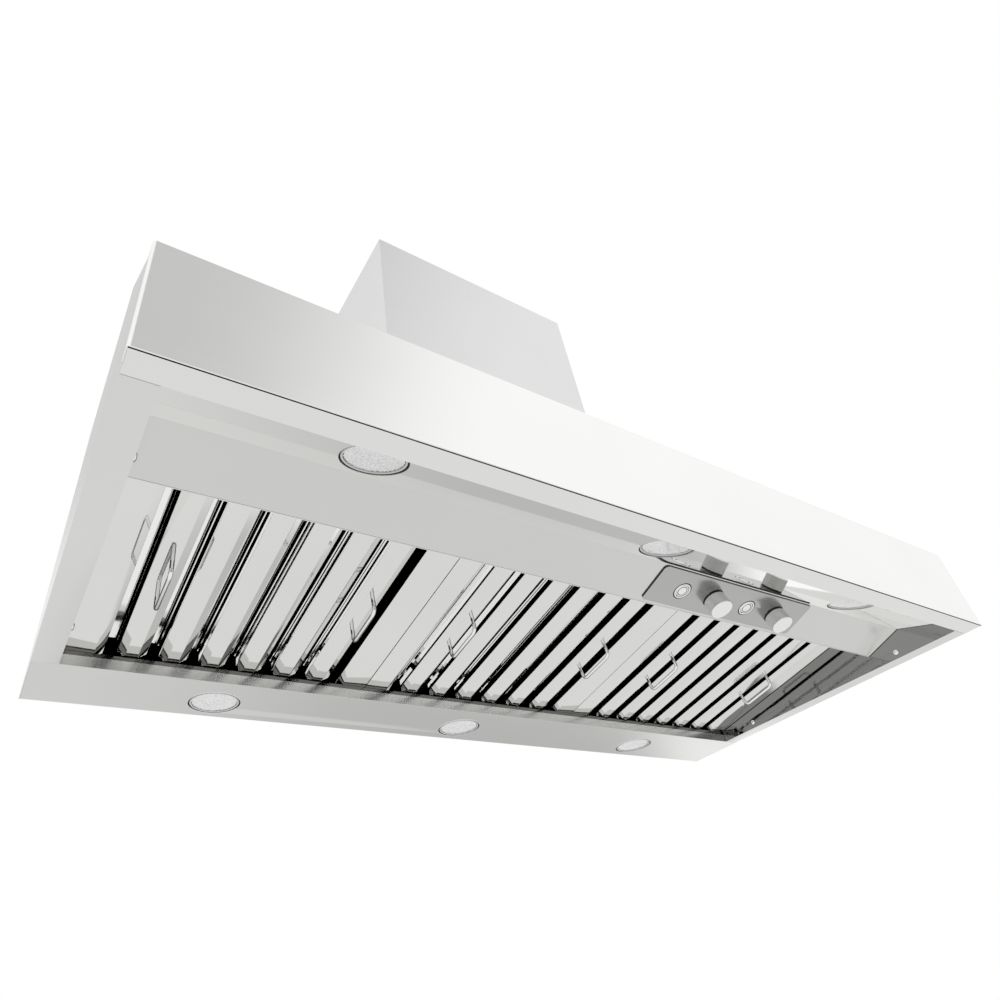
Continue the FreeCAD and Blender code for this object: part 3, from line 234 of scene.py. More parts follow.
def slot_steel_with_painted_shade(name, painted_band):
    """The upright sheets deep in the filters: painted black to the eye, as shade in the slots,
    and still bright to what mirrors them.

    When asked for, a pale band, painted reflection, lies part of the way up, which rises
    and narrows towards the right.
    """
    material, nodes, shader = new_material(name)
    mapping = nodes.add("ShaderNodeMapping", vector_type="TEXTURE")
    nodes.feed(mapping, Vector=object_place(nodes), Rotation=(FILTER_TILT, 0, 0),
               Location=(0, FILTER_BACK * MM, FILTER_UP * MM))
    parts = split(nodes, mapping.outputs[0])
    # Black to the eye, painted shade in the slots; bright steel to glossy rays.
    tone = nodes.add("ShaderNodeLightPath").outputs["Is Glossy Ray"]
    if painted_band:
        # The pale band between low and high shows as bright steel to the eye: painted reflection.
        low = nodes.ramp(parts["X"], -0.30, 0.10, 5.0 * MM, 16.5 * MM)
        high = nodes.ramp(parts["X"], -0.54, -0.33, 5.0 * MM, 22.0 * MM)
        high = nodes.math("SUBTRACT", high, nodes.ramp(parts["X"], -0.15, 0.13, 0.0, 6.0 * MM))
        band = nodes.math("MULTIPLY", nodes.math("GREATER_THAN", parts["Z"], low),
                          nodes.math("LESS_THAN", parts["Z"], high))
        tone = nodes.math("MAXIMUM", tone, band)
    grain = noise(nodes, object_vector(nodes, ALONG_Y))
    shown = nodes.math("MULTIPLY", tone, nodes.ramp(grain, 0.3, 0.7, 0.93, 0.97))
    nodes.feed(shader, Base_Color=grey(nodes, shown), Metallic=tone, Specular_IOR_Level=0.0,
               Roughness=nodes.ramp(grain, 0.3, 0.7, 0.01, 0.02))
    return material


def steel_with_painted_tones(name, shown, mirrored, front, roughness, stroke):
    """Brushed steel with one tone to the eye and another to what mirrors it: lit and shaded
    copies of one steel, painted light and painted shade.

    The mirrored tone turns into the front one towards the canopy's front.
    """
    material, nodes, shader = new_material(name)
    parts = split(nodes, object_place(nodes))
    glossy = nodes.add("ShaderNodeLightPath").outputs["Is Glossy Ray"]
    other = nodes.ramp(parts["Y"], -0.27, -0.23, front, mirrored)
    tone = nodes.math("ADD", nodes.math("MULTIPLY", other, glossy),
                      nodes.math("MULTIPLY", nodes.math("SUBTRACT", 1.0, glossy), shown))
    colour = grey(nodes, tone, nodes.math("MULTIPLY", tone, 0.985))
    grained(nodes, shader, colour, roughness, stroke, 0.04, 3e-7, 1.0)
    return material


def wire_painted_reflection(name):
    """Polished round steel with painted reflection: bright where it faces the eye, with dark
    edges.
    """
    material, nodes, shader = new_material(name)
    facing = nodes.feed(nodes.add("ShaderNodeLayerWeight"), Blend=0.5).outputs["Facing"]
    grain = noise(nodes, object_vector(nodes, (700, 90, 700)))
    tone = nodes.math("MULTIPLY", nodes.ramp(facing, 0.20, 0.62, 0.98, 0.07),
                      nodes.ramp(grain, 0.3, 0.7, 0.94, 1.0))
    nodes.feed(shader, Base_Color=grey(nodes, tone), Metallic=1.0,
               Roughness=nodes.ramp(grain, 0.3, 0.7, 0.03, 0.07))
    return material


def spun_steel(name):
    """An end face turned on a lathe: fine rings, read from the piece's own ring attribute."""
    material, nodes, shader = new_material(name)
    ring = nodes.add("ShaderNodeAttribute", attribute_name="ring").outputs["Fac"]
    along = nodes.add("ShaderNodeCombineXYZ")
    nodes.feed(along, X=nodes.math("MULTIPLY", ring, 2600.0))
    rings = noise(nodes, along.outputs[0])
    bump = nodes.add("ShaderNodeBump")
    nodes.feed(bump, Height=rings, Distance=4e-5, Strength=1.0)
    colour = grey(nodes, nodes.ramp(rings, 0.3, 0.7, 0.90, 0.98))
    nodes.feed(shader, Base_Color=colour, Metallic=1.0, Roughness=0.25, Normal=bump.outputs[0])
    return material


def plastic(name, colour, roughness):
    material, nodes, shader = new_material(name)
    grained(nodes, shader, (*colour, 1), roughness, (900, 900, 900), 0.15, 1e-5, 0.0)
    return material


ALONG_X = (3, 1400, 1400)
ALONG_Y = (1400, 3, 1400)
ALONG_Z = (1400, 1400, 3)
BRIGHT = (0.92, 0.92, 0.905)


def make_materials():
    return {
        "shell_along": brushed_steel("shell_brushed_along", BRIGHT, 0.22, ALONG_X),
        "rim_side": brushed_steel("rim_brushed_front_to_back", (0.80, 0.80, 0.785), 0.22, ALONG_Y),
        # The front rim's steel is lighter and the rear rim's darker than the side rims': painted
        # light and painted shade.
        "rim_front": brushed_steel("front_rim_painted_light", (0.87, 0.87, 0.855), 0.20, ALONG_X),
        "rim_rear": brushed_steel("rear_rim_painted_shade", (0.73, 0.73, 0.715), 0.22, ALONG_X),
        "inner": brushed_steel("inner_sheet", (0.80, 0.80, 0.785), 0.18, ALONG_X),
        # Near-black steel for what faces into the canopy, the filters' upward faces and the gaps:
        # painted shade.
        "shade": brushed_steel("painted_shade_inside_canopy", (0.03, 0.03, 0.03), 0.5, (90, 90, 90), 0.3),
        "galvanised": brushed_steel("galvanised", (0.55, 0.56, 0.57), 0.42, (60, 60, 60), 0.25),
        # The plate's steel is darker than the panel's: painted shade for the dark reflection it
        # shows.
        "plate": brushed_steel("control_plate", (0.51, 0.51, 0.50), 0.20, ALONG_X, 0.03, 1e-6),
        "cover": brushed_steel("cover_brushed_upright", (0.74, 0.74, 0.74), 0.25, ALONG_Z),
        # Liner steel dark to the eye and to rear reflections, bright in reflections near the
        # front: painted shade and painted light; also on the side panels' lips.
        "liner": steel_with_painted_tones("mirror_liner_painted_shade", 0.29, 0.28, 0.95, 0.06, ALONG_Y),
        # The tray's steel is darkened: painted shade on the rear lip.
        "tray": brushed_steel("tray_wall_painted_shade", (0.18, 0.175, 0.17), 0.10, ALONG_X, 0.05, 1e-6),
        "lamp_panel": brushed_steel("lamp_panel", (0.80, 0.80, 0.785), 0.04, ALONG_X, 0.02, 3e-7),
        # Control panel steel darker to the eye than to what mirrors it: painted shade to the eye,
        # painted light in reflections.
        "control_panel": steel_with_painted_tones("control_panel", 0.73, 0.98, 0.98, 0.22, ALONG_X),
        "baffle": brushed_steel("polished_baffle", (0.80, 0.80, 0.785), 0.06, ALONG_Y, 0.02, 1e-7),
        # The hem's steel is brighter than the baffles' own steel: painted highlight on top of its
        # real reflection.
        "hem": brushed_steel("baffle_hem_painted_highlight", (0.98, 0.98, 0.97), 0.12, ALONG_Y, 0.02, 1e-7),
        # Slot sheets black to the eye, painted shade; the legs' one also has a pale band, painted
        # reflection.
        "leg": slot_steel_with_painted_shade("baffle_leg_painted_shade_and_band", True),
        "deep": slot_steel_with_painted_shade("deep_slot_painted_shade", False),
        "knob": brushed_steel("turned_knob", (0.90, 0.90, 0.89), 0.20, (400, 400, 400)),
        # The knurl's steel is darker than the knob's: painted shade on the knurled sides.
        "knurl": brushed_steel("knurled_grip", (0.64, 0.64, 0.63), 0.24, (700, 700, 700), 0.1),
        "spun": spun_steel("spun_end_face"),
        "wire": wire_painted_reflection("wire_painted_reflection"),
        "ring": brushed_steel("light_ring", (0.92, 0.92, 0.92), 0.12, (300, 300, 300), 0.03),
        "screw": wire_painted_reflection("screw_painted_reflection"),
        "cast": brushed_steel("cast_aluminium", (0.70, 0.70, 0.70), 0.45, (200, 200, 200), 0.1),
        "lens": prismatic_glass("prismatic_lens"),
        "black": plastic("black_plastic", (0.02, 0.02, 0.022), 0.5),
        "white": plastic("white_plastic", (0.80, 0.80, 0.78), 0.4),
    }


MATERIALS = make_materials()

# ------------------------------------------------------------------ finishes of the CAD nodes

SIDES = ("left", "middle", "right")
FINISHES = {
    "rim_front": ("front_rail",),
    "lamp_panel": ("front_light_panel",),
    "control_panel": ("control_panel",),
    "inner": ("filter_front_ledge", "control_box_cover"),
    "liner": ("left_liner", "right_liner"),
    "tray": ("grease_tray",),
    "galvanised": ("cover_bracket", "blower_housing", "motor_bracket",
                   "duct_collar", "left_damper_flap", "right_damper_flap", "junction_box",
                   "junction_box_cover"),
    "knob": ("light_knob_shaft", "fan_knob_shaft", "damper_pins"),
    "cast": ("blower_wheel",),
    "black": ("push_switches", "rotary_switches", "blower_motor", "front_lamp_housings",
              "rear_lamp_housings"),
    "white": ("lamp_driver",),
}


def finish_nodes():
    for finish, names in FINISHES.items():
        for name in names:
            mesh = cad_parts[name].data
            mesh.materials.clear()
            mesh.materials.append(MATERIALS[finish])


# ------------------------------------------------------------------ making pieces

def new_piece(name, mesh, body, *nodes):
    """Links a finished mesh as a piece that rides on a body and stands for CAD nodes."""
    piece = bpy.data.objects.new(name, mesh)
    bpy.context.scene.collection.objects.link(piece)
    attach(piece, body)
    if nodes:
        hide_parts(*nodes)
    return piece


EDGE = 0.3 * MM                 # width of the eased edges


def soften(mesh, angle=35):
    mesh.shade_smooth()
    mesh.set_sharp_from_angle(angle=math.radians(angle))
    return mesh


def as_mesh(name, shape, finishes=()):
    mesh = bpy.data.meshes.new(name)
    shape.to_mesh(mesh)
    shape.free()
    for finish in finishes:
        mesh.materials.append(MATERIALS[finish])
    return mesh


def dressed(node, body, finishes, pick=None):
    """A copy of a CAD node with eased edges; pick says which finish each face gets."""
    shape = bmesh.new()
    shape.from_mesh(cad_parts[node].data)
    bmesh.ops.remove_doubles(shape, verts=shape.verts, dist=1e-6)
    bmesh.ops.dissolve_limit(shape, angle_limit=math.radians(0.2), verts=shape.verts,
                             edges=shape.edges)
    for face in shape.faces:
        face.material_index = int(pick(face.calc_center_median(), face.normal)) if pick else 0
    sharp = [edge for edge in shape.edges
             if edge.is_manifold and edge.calc_face_angle(0) > math.radians(30)]
    bmesh.ops.bevel(shape, geom=sharp, offset=EDGE, segments=2, profile=0.5,
                    affect="EDGES", clamp_overlap=True, material=-1)
    mesh = as_mesh(node + "_dressed", shape, finishes)
    return new_piece(node + "_dressed", soften(mesh, 25), body, node)


# ------------------------------------------------------------------ rows of repeated pieces

def row_sockets(tree, floats=(), finishes=("Finish",)):
    """The inputs that every repeating tree has, besides its own ones."""
    sockets(tree, "Geometry", "Geometry")
    sockets(tree, "Float", *floats)
    sockets(tree, "Int", "Count")
    sockets(tree, "Vector", "Start", "Step", "Place", "Turn")
    sockets(tree, "Material", *finishes)
    sockets(tree, "Geometry", "Geometry", in_out="OUTPUT")


def repeated(nodes, given, piece):
    """Repeats a piece in a straight row, places the row and gives it its finish."""
    line = nodes.add("GeometryNodeMeshLine", mode="OFFSET")
    nodes.feed(line, Count=given["Count"], Start_Location=given["Start"], Offset=given["Step"])
    row = nodes.add("GeometryNodeInstanceOnPoints")
    nodes.feed(row, Points=line.outputs["Mesh"], Instance=piece)
    placed = nodes.add("GeometryNodeTransform")
    nodes.feed(placed, Geometry=row.outputs["Instances"], Translation=given["Place"],
               Rotation=given["Turn"])
    made = nodes.feed(nodes.add("GeometryNodeRealizeInstances"),
                      Geometry=placed.outputs["Geometry"])
    return nodes.feed(nodes.add("GeometryNodeSetMaterial"), Geometry=made.outputs["Geometry"],
                      Material=given["Finish"])


def make_row_tree():
    """A repeated row whose faces marked shaded, edge or hem get a finish of their own."""
    tree = bpy.data.node_groups.new("repeated_row", "GeometryNodeTree")
    row_sockets(tree, finishes=("Finish", "Shaded Finish", "Edge Finish", "Hem Finish"))
    nodes = Nodes(tree)
    given = nodes.add("NodeGroupInput").outputs
    made = repeated(nodes, given, given["Geometry"])
    for mark, finish in (("shaded", "Shaded Finish"), ("edge", "Edge Finish"),
                         ("hem", "Hem Finish")):
        marked = nodes.add("GeometryNodeInputNamedAttribute", data_type="BOOLEAN")
        nodes.feed(marked, Name=mark)
        made = nodes.feed(nodes.add("GeometryNodeSetMaterial"),
                          Geometry=made.outputs["Geometry"],
                          Selection=marked.outputs["Attribute"], Material=given[finish])
    nodes.feed(nodes.add("NodeGroupOutput"), Geometry=made.outputs["Geometry"])
    return tree


ROW_TREE = make_row_tree()


def grown(name, mesh, tree, inputs):
    """Runs a geometry tree on a mesh and gives the result as a plain mesh."""
    holder = bpy.data.objects.new(name, mesh)
    bpy.context.scene.collection.objects.link(holder)
    modifier = holder.modifiers.new("tree", "NODES")
    modifier.node_group = tree
    for socket in tree.interface.items_tree:
        if socket.in_out == "INPUT" and socket.name in inputs:
            modifier[socket.identifier] = inputs[socket.name]
    holder.update_tag()
    graph = bpy.context.evaluated_depsgraph_get()
    result = bpy.data.meshes.new_from_object(holder.evaluated_get(graph), depsgraph=graph)
    bpy.data.objects.remove(holder)
    result.name = name
    return result


# ------------------------------------------------------------------ baffle filters

FILTER_LENGTH = 321.044
BAFFLE_PITCH = 47.8
BAFFLE_COUNT = 6
BAFFLE_SKIN = 0.8
BAFFLE_NOSE = 9.5               # length of a lower baffle's sloped ends
HANDLE_HALF = 31.5
HANDLE_DROP = 25.0
WIRE_RADIUS = 2.5
WIRE_BEND = 8.0


def bend(points, radius, steps=3, hold=0.4):
    """Rounds the corners of an open path. Gives each point with its left-hand normal.

    A short run is kept beside each bend, so that the flats stay flat when shaded.
    """
    path = []

    def add(point, heading):
        path.append((point, Vector((-heading.y, heading.x))))

    points = [Vector(point) for point in points]
    headings = [(b - a).normalized() for a, b in zip(points, points[1:])]
    add(points[0], headings[0])
    for corner, arrive, leave in zip(points[1:-1], headings, headings[1:]):
        turn = arrive.angle_signed(leave) * -1
        reach = radius * math.tan(abs(turn) / 2)
        start = corner - arrive * reach
        side = math.copysign(1, turn)
        centre = start + Vector((-arrive.y, arrive.x)) * radius * side
        add(start - arrive * hold, arrive)
        for step in range(steps + 1):
            heading = arrive.copy()
            heading.rotate(Matrix.Rotation(turn * step / steps, 2))
            add(centre - Vector((-heading.y, heading.x)) * radius * side, heading)
        add(corner + leave * (reach + hold), leave)
    add(points[-1], headings[-1])
    return path


def channel_mesh(name, points, radius, length):
    """A folded sheet along Y."""
    path = bend(points, radius)
    face = [(point.x, point.y) for point, normal in path]
    back = [(point.x + normal.x * BAFFLE_SKIN, point.y + normal.y * BAFFLE_SKIN)
            for point, normal in path]
    shape = bmesh.new()
    rings = []
    for along in (-length / 2, length / 2):
        rings.append([[shape.verts.new((a * MM, along * MM, b * MM)) for a, b in side]
                      for side in (face, back)])
    (near_face, near_back), (far_face, far_back) = rings
    count = len(face)
    for index in range(count - 1):
        after = index + 1
        shape.faces.new((near_face[index], near_face[after], far_face[after], far_face[index]))
        shape.faces.new((near_back[index], far_back[index], far_back[after], near_back[after]))
        shape.faces.new((near_face[index], near_back[index], near_back[after], near_face[after]))
        shape.faces.new((far_face[index], far_face[after], far_back[after], far_back[index]))
    for index in (0, count - 1):
        shape.faces.new((near_face[index], far_face[index], far_back[index], near_back[index]))
    bmesh.ops.recalc_face_normals(shape, faces=shape.faces)
    return shape


def add_noses(shape, start, end, flat, tip, side, rise, top):
    """Closes a channel's two ends with a sloped facet between two cut corners."""
    for way in (-1, 1):
        outline = [(-side, start), (-tip, end), (tip, end), (side, start)]
        bottom = [shape.verts.new((x * MM, way * start * MM, 0)) for x in (-flat, flat)]
        low = [shape.verts.new((x * MM, way * y * MM, rise * MM)) for x, y in outline]
        high = [shape.verts.new((x * MM, way * y * MM, top * MM)) for x, y in outline]
        faces = [shape.faces.new((bottom[0], bottom[1], low[2], low[1])),
                 shape.faces.new((bottom[1], low[3], low[2])),
                 shape.faces.new((bottom[0], low[1], low[0]))]
        faces += [shape.faces.new((low[at], low[at + 1], high[at + 1], high[at]))
                  for at in range(3)]
        if way < 0:
            bmesh.ops.reverse_faces(shape, faces=faces)
        bmesh.ops.solidify(shape, geom=faces, thickness=BAFFLE_SKIN * MM)


def marked_mesh(name, shape, upright):
    """Marks a channel's faces for their finishes.

    Faces that look up are shaded, given painted shade; faces steeper than upright are edge,
    given the slot finishes' painted shade; and the outward lips at the tops of the legs are
    hem, given a brighter steel with painted highlight.
    """
    shaded = [face.normal.z > 0.1 for face in shape.faces]
    edge = [-upright <= face.normal.z <= 0.1 for face in shape.faces]
    hem = [face.normal.z < -upright and face.calc_center_median().z > 12 * MM
           for face in shape.faces]
    mesh = as_mesh(name, shape)
    for mark, values in (("shaded", shaded), ("edge", edge), ("hem", hem)):
        mesh.attributes.new(mark, "BOOLEAN", "FACE").data.foreach_set("value", values)
    return soften(mesh, 25)


def make_baffles():
    length = FILTER_LENGTH - 2 * BAFFLE_SKIN
    legs = ((-19.3, 21.3), (-18.2, 20.6), (-16.5, 17.0), (-16.5, 5.5))
    profile = legs + ((-7, 0), (7, 0)) + tuple((-x, z) for x, z in reversed(legs))
    lower = channel_mesh("lower_channel", profile, 0.6, length - 2 * BAFFLE_NOSE)
    add_noses(lower, length / 2 - BAFFLE_NOSE, length / 2, 7, 10, 16.5, 5.5, 17.0)
    lower = marked_mesh("lower_channel", lower, 0.6)
    upper = channel_mesh("upper_channel", (
        (-16.5, 11.5), (-16.5, 24.1), (-4, 31.5), (4, 31.5), (16.5, 24.1), (16.5, 11.5)),
        0.8, length)
    upper = marked_mesh("upper_channel", upper, 0.95)
    for side in SIDES:
        place = (FILTER_PLACE[side] * MM, FILTER_BACK * MM, FILTER_UP * MM)
        for row, channel, count, legs in (("lower", lower, BAFFLE_COUNT, "leg"),
                                          ("upper", upper, BAFFLE_COUNT + 1, "deep")):
            node = side + "_filter_" + row + "_baffles"
            mesh = grown(node + "_folded", channel, ROW_TREE, {
                "Count": count,
                "Start": (-(count - 1) / 2 * BAFFLE_PITCH * MM, 0, 0),
                "Step": (BAFFLE_PITCH * MM, 0, 0),
                "Place": place,
                "Turn": (FILTER_TILT, 0, 0),
                "Finish": MATERIALS["baffle"],
                # Upward faces and legs get painted shade; the lower legs also a painted reflection
                # band.
                "Shaded Finish": MATERIALS["shade"],
                "Edge Finish": MATERIALS[legs],
                "Hem Finish": MATERIALS["hem"],
            })
            new_piece(node + "_folded", mesh, side + "_filter", node)


def dress_filter_frames():
    for side in SIDES:
        low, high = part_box(side + "_filter_frame")
        middle = (Vector(low) + Vector(high)) / 2

        # Faces that look up or inwards get the deep slot finish: painted shade.
        def inner(centre, normal):
            inwards = (middle - centre).dot(normal) > 0
            return normal.z > 0.3 or inwards and max(abs(normal.x), abs(normal.y)) > 0.9

        dressed(side + "_filter_frame", side + "_filter", ("baffle", "deep"), inner)


def make_handle_tree():
    """A wire bent from an open line: Wire Radius, Bend Radius, repeated Count times."""
    tree = bpy.data.node_groups.new("bent_wire_handles", "GeometryNodeTree")
    row_sockets(tree, ("Wire Radius", "Bend Radius"))
    nodes = Nodes(tree)
    given = nodes.add("NodeGroupInput").outputs
    path = nodes.feed(nodes.add("GeometryNodeMeshToCurve"), Mesh=given["Geometry"])
    path = nodes.feed(nodes.add("GeometryNodeFilletCurve", mode="POLY"),
                      Curve=path.outputs["Curve"], Radius=given["Bend Radius"], Count=7)
    round_wire = nodes.add("GeometryNodeCurvePrimitiveCircle", mode="RADIUS")
    nodes.feed(round_wire, Radius=given["Wire Radius"], Resolution=20)
    wire = nodes.add("GeometryNodeCurveToMesh")
    nodes.feed(wire, Curve=path.outputs["Curve"], Profile_Curve=round_wire.outputs["Curve"],
               Fill_Caps=True)
    made = repeated(nodes, given, wire.outputs["Mesh"])
    nodes.feed(nodes.add("NodeGroupOutput"), Geometry=made.outputs["Geometry"])
    return tree


def make_handles():
    tree = make_handle_tree()
    half, drop = HANDLE_HALF, -HANDLE_DROP
    corners = [(0, -half, 0), (0, -half, drop), (0, half, drop), (0, half, 0)]
    line = bpy.data.meshes.new("handle_line")
    line.from_pydata([[size * MM for size in corner] for corner in corners],
                     [(0, 1), (1, 2), (2, 3)], [])
    spread = (BAFFLE_COUNT - 1) * BAFFLE_PITCH * MM
    for side in SIDES:
        node = side + "_filter_handles"
        mesh = grown(node + "_bent", line, tree, {
            "Wire Radius": WIRE_RADIUS * MM,
            "Bend Radius": WIRE_BEND * MM,
            "Count": 2,
            "Start": (-spread / 2, 0, 0),
            "Step": (spread, 0, 0),
            "Place": (FILTER_PLACE[side] * MM, FILTER_BACK * MM, FILTER_UP * MM),
            "Turn": (FILTER_TILT, 0, 0),
            "Finish": MATERIALS["wire"],
        })
        new_piece(node + "_bent", soften(mesh, 60), side + "_filter", node)


# ------------------------------------------------------------------ canopy shell

def dress_shell():
    """The folded sheets with eased edges; what faces into the canopy gets the dull near-black
    finish, painted shade for its dark inside.
    """
    def inward(outward):
        outward = Vector(outward).normalized()
        return lambda centre, normal: normal.dot(outward) < -0.5

    dressed("canopy_slope", "hood", ("shell_along", "shade"), inward((0, -0.7, 0.7)))
    dressed("crown_panel", "hood", ("shell_along", "shade"), inward((0, 0, 1)))
    dressed("back_panel", "hood", ("galvanised", "shade"), inward((0, 1, 0)))
    dressed("front_fascia", "hood", ("shell_along", "shade"),
            lambda centre, normal: normal.y > 0.5 or normal.x * centre.x < -0.3)
    dressed("duct_cover", "hood", ("cover", "shade"),
            lambda centre, normal: normal.y > 0.5 and centre.y < -0.29)
    for side, sign in (("left", -1), ("right", 1)):
        def sheet_side(centre, normal):
            """The outside, the inside with painted shade, or the lip that the screws hold, in the
            liner's dark steel, painted shade.
            """
            if normal.x * sign > -0.5:
                return 0
            return 1 if abs(centre.x) > 0.6 else 2

        dressed(side + "_side_panel", "hood", ("rim_side", "shade", "liner"), sheet_side)
    dressed("rear_rail", "hood", ("rim_rear",))


def dress_control_plate():
    """The plate is bright; its backing, seen only in the gap round it, is dark: painted shade in
    the gap.
    """
    def backing(centre, normal):
        across, down, inward = CONTROL.inverted() @ centre * 1000
        return inward > 0.9 and (down < -31 or across < 43.2)

    dressed("control_plate", "hood", ("plate", "shade"), backing)


def make_plate_rim():
    """A thin rim round the plate: upstanding and dark at the front and left, else flush."""
    centre, half, corner = (PLATE_MIDDLE, -1.9), (153.8, 29.8), 6.3
    levels = ((0.3, 0.8, 1), (0.3, -1.7, 1), (0.1, -1.9, 0), (-0.3, -1.9, 0), (-0.5, -1.7, 0),
              (-0.5, 0.8, 0))
    raised = [False] * 12 + [True] * 11 + [False] * 5
    shape = bmesh.new()
    loops = []
    for grow, height, finish in levels:
        loop = []
        for quarter in range(4):
            for step in range(7):
                turn = math.pi / 2 * (quarter + step / 6)
                signs = (math.cos(math.pi / 2 * (quarter + 0.5)),
                         math.sin(math.pi / 2 * (quarter + 0.5)))
                flush = not raised[len(loop)]
                reach = 1.4 if flush and grow > 0 else grow
                spot = [middle + math.copysign(size - corner, sign) + way * (corner + reach)
                        for middle, size, sign, way in
                        zip(centre, half, signs, (math.cos(turn), math.sin(turn)))]
                top = max(height, -0.12) if flush else height
                loop.append(shape.verts.new((spot[0] * MM, spot[1] * MM, top * MM)))
        loops.append(loop)
    for index, (grow, height, finish) in enumerate(levels):
        first, second = loops[index], loops[(index + 1) % len(loops)]
        for at in range(len(first)):
            after = (at + 1) % len(first)
            band = shape.faces.new((first[at], first[after], second[after], second[at]))
            band.material_index = finish if raised[at] and raised[after] else 2
    bmesh.ops.recalc_face_normals(shape, faces=shape.faces)
    shape.transform(CONTROL)
    mesh = as_mesh("control_plate_rim", shape, ("plate", "black", "control_panel"))
    new_piece("control_plate_rim", soften(mesh, 40), "hood")


def make_tray_ends():
    """Turned ends of the grease tray's front wall, which close it to the liners."""
    low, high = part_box("grease_tray")
    shape = bmesh.new()
    for sign in (-1, 1):
        place = Matrix.Translation((sign * 574.4 * MM, low[1] + 0.6 * MM, (low[2] + high[2]) / 2))
        size = Matrix.Diagonal((13.6 * MM, 1.2 * MM, high[2] - low[2], 1))
        box = bmesh.ops.create_cube(shape, size=1, matrix=place @ size)
        edges = {edge for vertex in box["verts"] for edge in vertex.link_edges}
        bmesh.ops.bevel(shape, geom=list(edges), offset=EDGE, segments=2, profile=0.5,
                        affect="EDGES")
    mesh = as_mesh("tray_turned_ends", shape, ("tray",))
    new_piece("tray_turned_ends", soften(mesh), "hood")


# ------------------------------------------------------------------ knobs, buttons, lamps, screws

CONTROL = (Matrix.Translation((0, -471.243 * MM, -271.828 * MM)) @
           Matrix.Rotation(math.radians(-17.4), 4, "X"))
PLATE_MIDDLE = 196.4
LAMP_ROWS = {
    "front": (Matrix.Translation((0, -540.271 * MM, -272.655 * MM)) @
              Matrix.Rotation(math.radians(19.1), 4, "X")),
    "rear": Matrix.Translation((0, -46.8 * MM, -304.8 * MM)),
}


def turned_mesh(name, profile, steps, finishes, place):
    """A surface of revolution about Z, from (radius, height, finish) points.

    The finish belongs to the band that follows the point. Keeps each point's radius as
    the ring attribute.
    """
    shape = bmesh.new()
    ring = shape.verts.layers.float.new("ring")
    rows = []
    for radius, height, finish in profile:
        if radius == 0:
            row = [shape.verts.new((0, 0, height * MM))]
        else:
            row = [shape.verts.new((radius * math.cos(turn) * MM, radius * math.sin(turn) * MM,
                                    height * MM))
                   for turn in (2 * math.pi * step / steps for step in range(steps))]
        for vertex in row:
            vertex[ring] = radius * MM
        rows.append(row)
    for first, second, (radius, height, finish) in zip(rows, rows[1:], profile):
        for step in range(steps):
            after = (step + 1) % steps
            corners = [first[step % len(first)], first[after % len(first)],
                       second[after % len(second)], second[step % len(second)]]
            corners = list(dict.fromkeys(corners))
            band = shape.faces.new(corners)
            band.material_index = finish
    bmesh.ops.recalc_face_normals(shape, faces=shape.faces)
    shape.transform(place)
    return soften(as_mesh(name, shape, finishes), 30)


def joined(name, meshes):
    """Several meshes with the same finishes as one."""
    shape = bmesh.new()
    for mesh in meshes:
        shape.from_mesh(mesh)
    whole = as_mesh(name, shape)
    for material in meshes[0].materials:
        whole.materials.append(material)
    return whole


def knurled_grip(radius, low, high, around, rows, depth):
    """A grip covered in small diamond points, each between four low corners."""
    shape = bmesh.new()
    lattice = []
    for row in range(rows + 1):
        height = low + (high - low) * row / rows
        line = []
        for step in range(around):
            reach = radius - depth * ((row + step) % 2)
            turn = 2 * math.pi * step / around
            line.append(shape.verts.new((reach * math.cos(turn) * MM, reach * math.sin(turn) * MM,
                                         height * MM)))
        lattice.append(line)
    for row in range(rows):
        for step in range(around):
            after = (step + 1) % around
            a, b = lattice[row][step], lattice[row][after]
            c, d = lattice[row + 1][after], lattice[row + 1][step]
            if (row + step) % 2:
                shape.faces.new((a, b, c))
                shape.faces.new((a, c, d))
            else:
                shape.faces.new((a, b, d))
                shape.faces.new((b, c, d))
    bmesh.ops.recalc_face_normals(shape, faces=shape.faces)
    return shape


def make_knobs():
    """Knurled knobs with a spun end face, each on a black base ring; the ring and the knob's black
    base are painted shadow in the gap over the plate.
    """
    # The first two bands, the knob's base, are black: painted shadow.
    body = ((0, -1.2, 1), (14.9, -1.2, 1), (15.5, -1.8, 0), (15.5, -2.2, 0), (15.35, -2.3, 0),
            (15.35, -19.6, 0), (15.6, -19.7, 0), (15.6, -20.3, 0), (15.3, -20.8, 0),
            (14.9, -21.0, 2), (7, -20.93, 2), (0, -20.85, 2))
    painted_shadow_ring = ((14.0, 0, 1), (15.3, 0, 1), (15.3, -1.3, 1), (14.0, -1.3, 1), (14.0, 0, 1))
    for name, across in (("light", 161.8), ("fan", 293.8)):
        place = CONTROL @ Matrix.Translation((across * MM, 0, 0))
        core = turned_mesh(name + "_knob_core", body, 96, ("knob", "black", "spun"), place)
        new_piece(name + "_knob_turned", core, name + "_knob", name + "_knob")
        grip = knurled_grip(15.85, -2.4, -19.5, 128, 22, 0.42)
        grip.transform(place)
        mesh = as_mesh(name + "_knob_grip", grip, ("knurl",))
        new_piece(name + "_knob_grip", mesh, name + "_knob", name + "_knob")
        ring = turned_mesh(name + "_knob_seal", painted_shadow_ring, 64, ("knob", "black"), place)
        new_piece(name + "_knob_seal", ring, name + "_knob", name + "_knob")


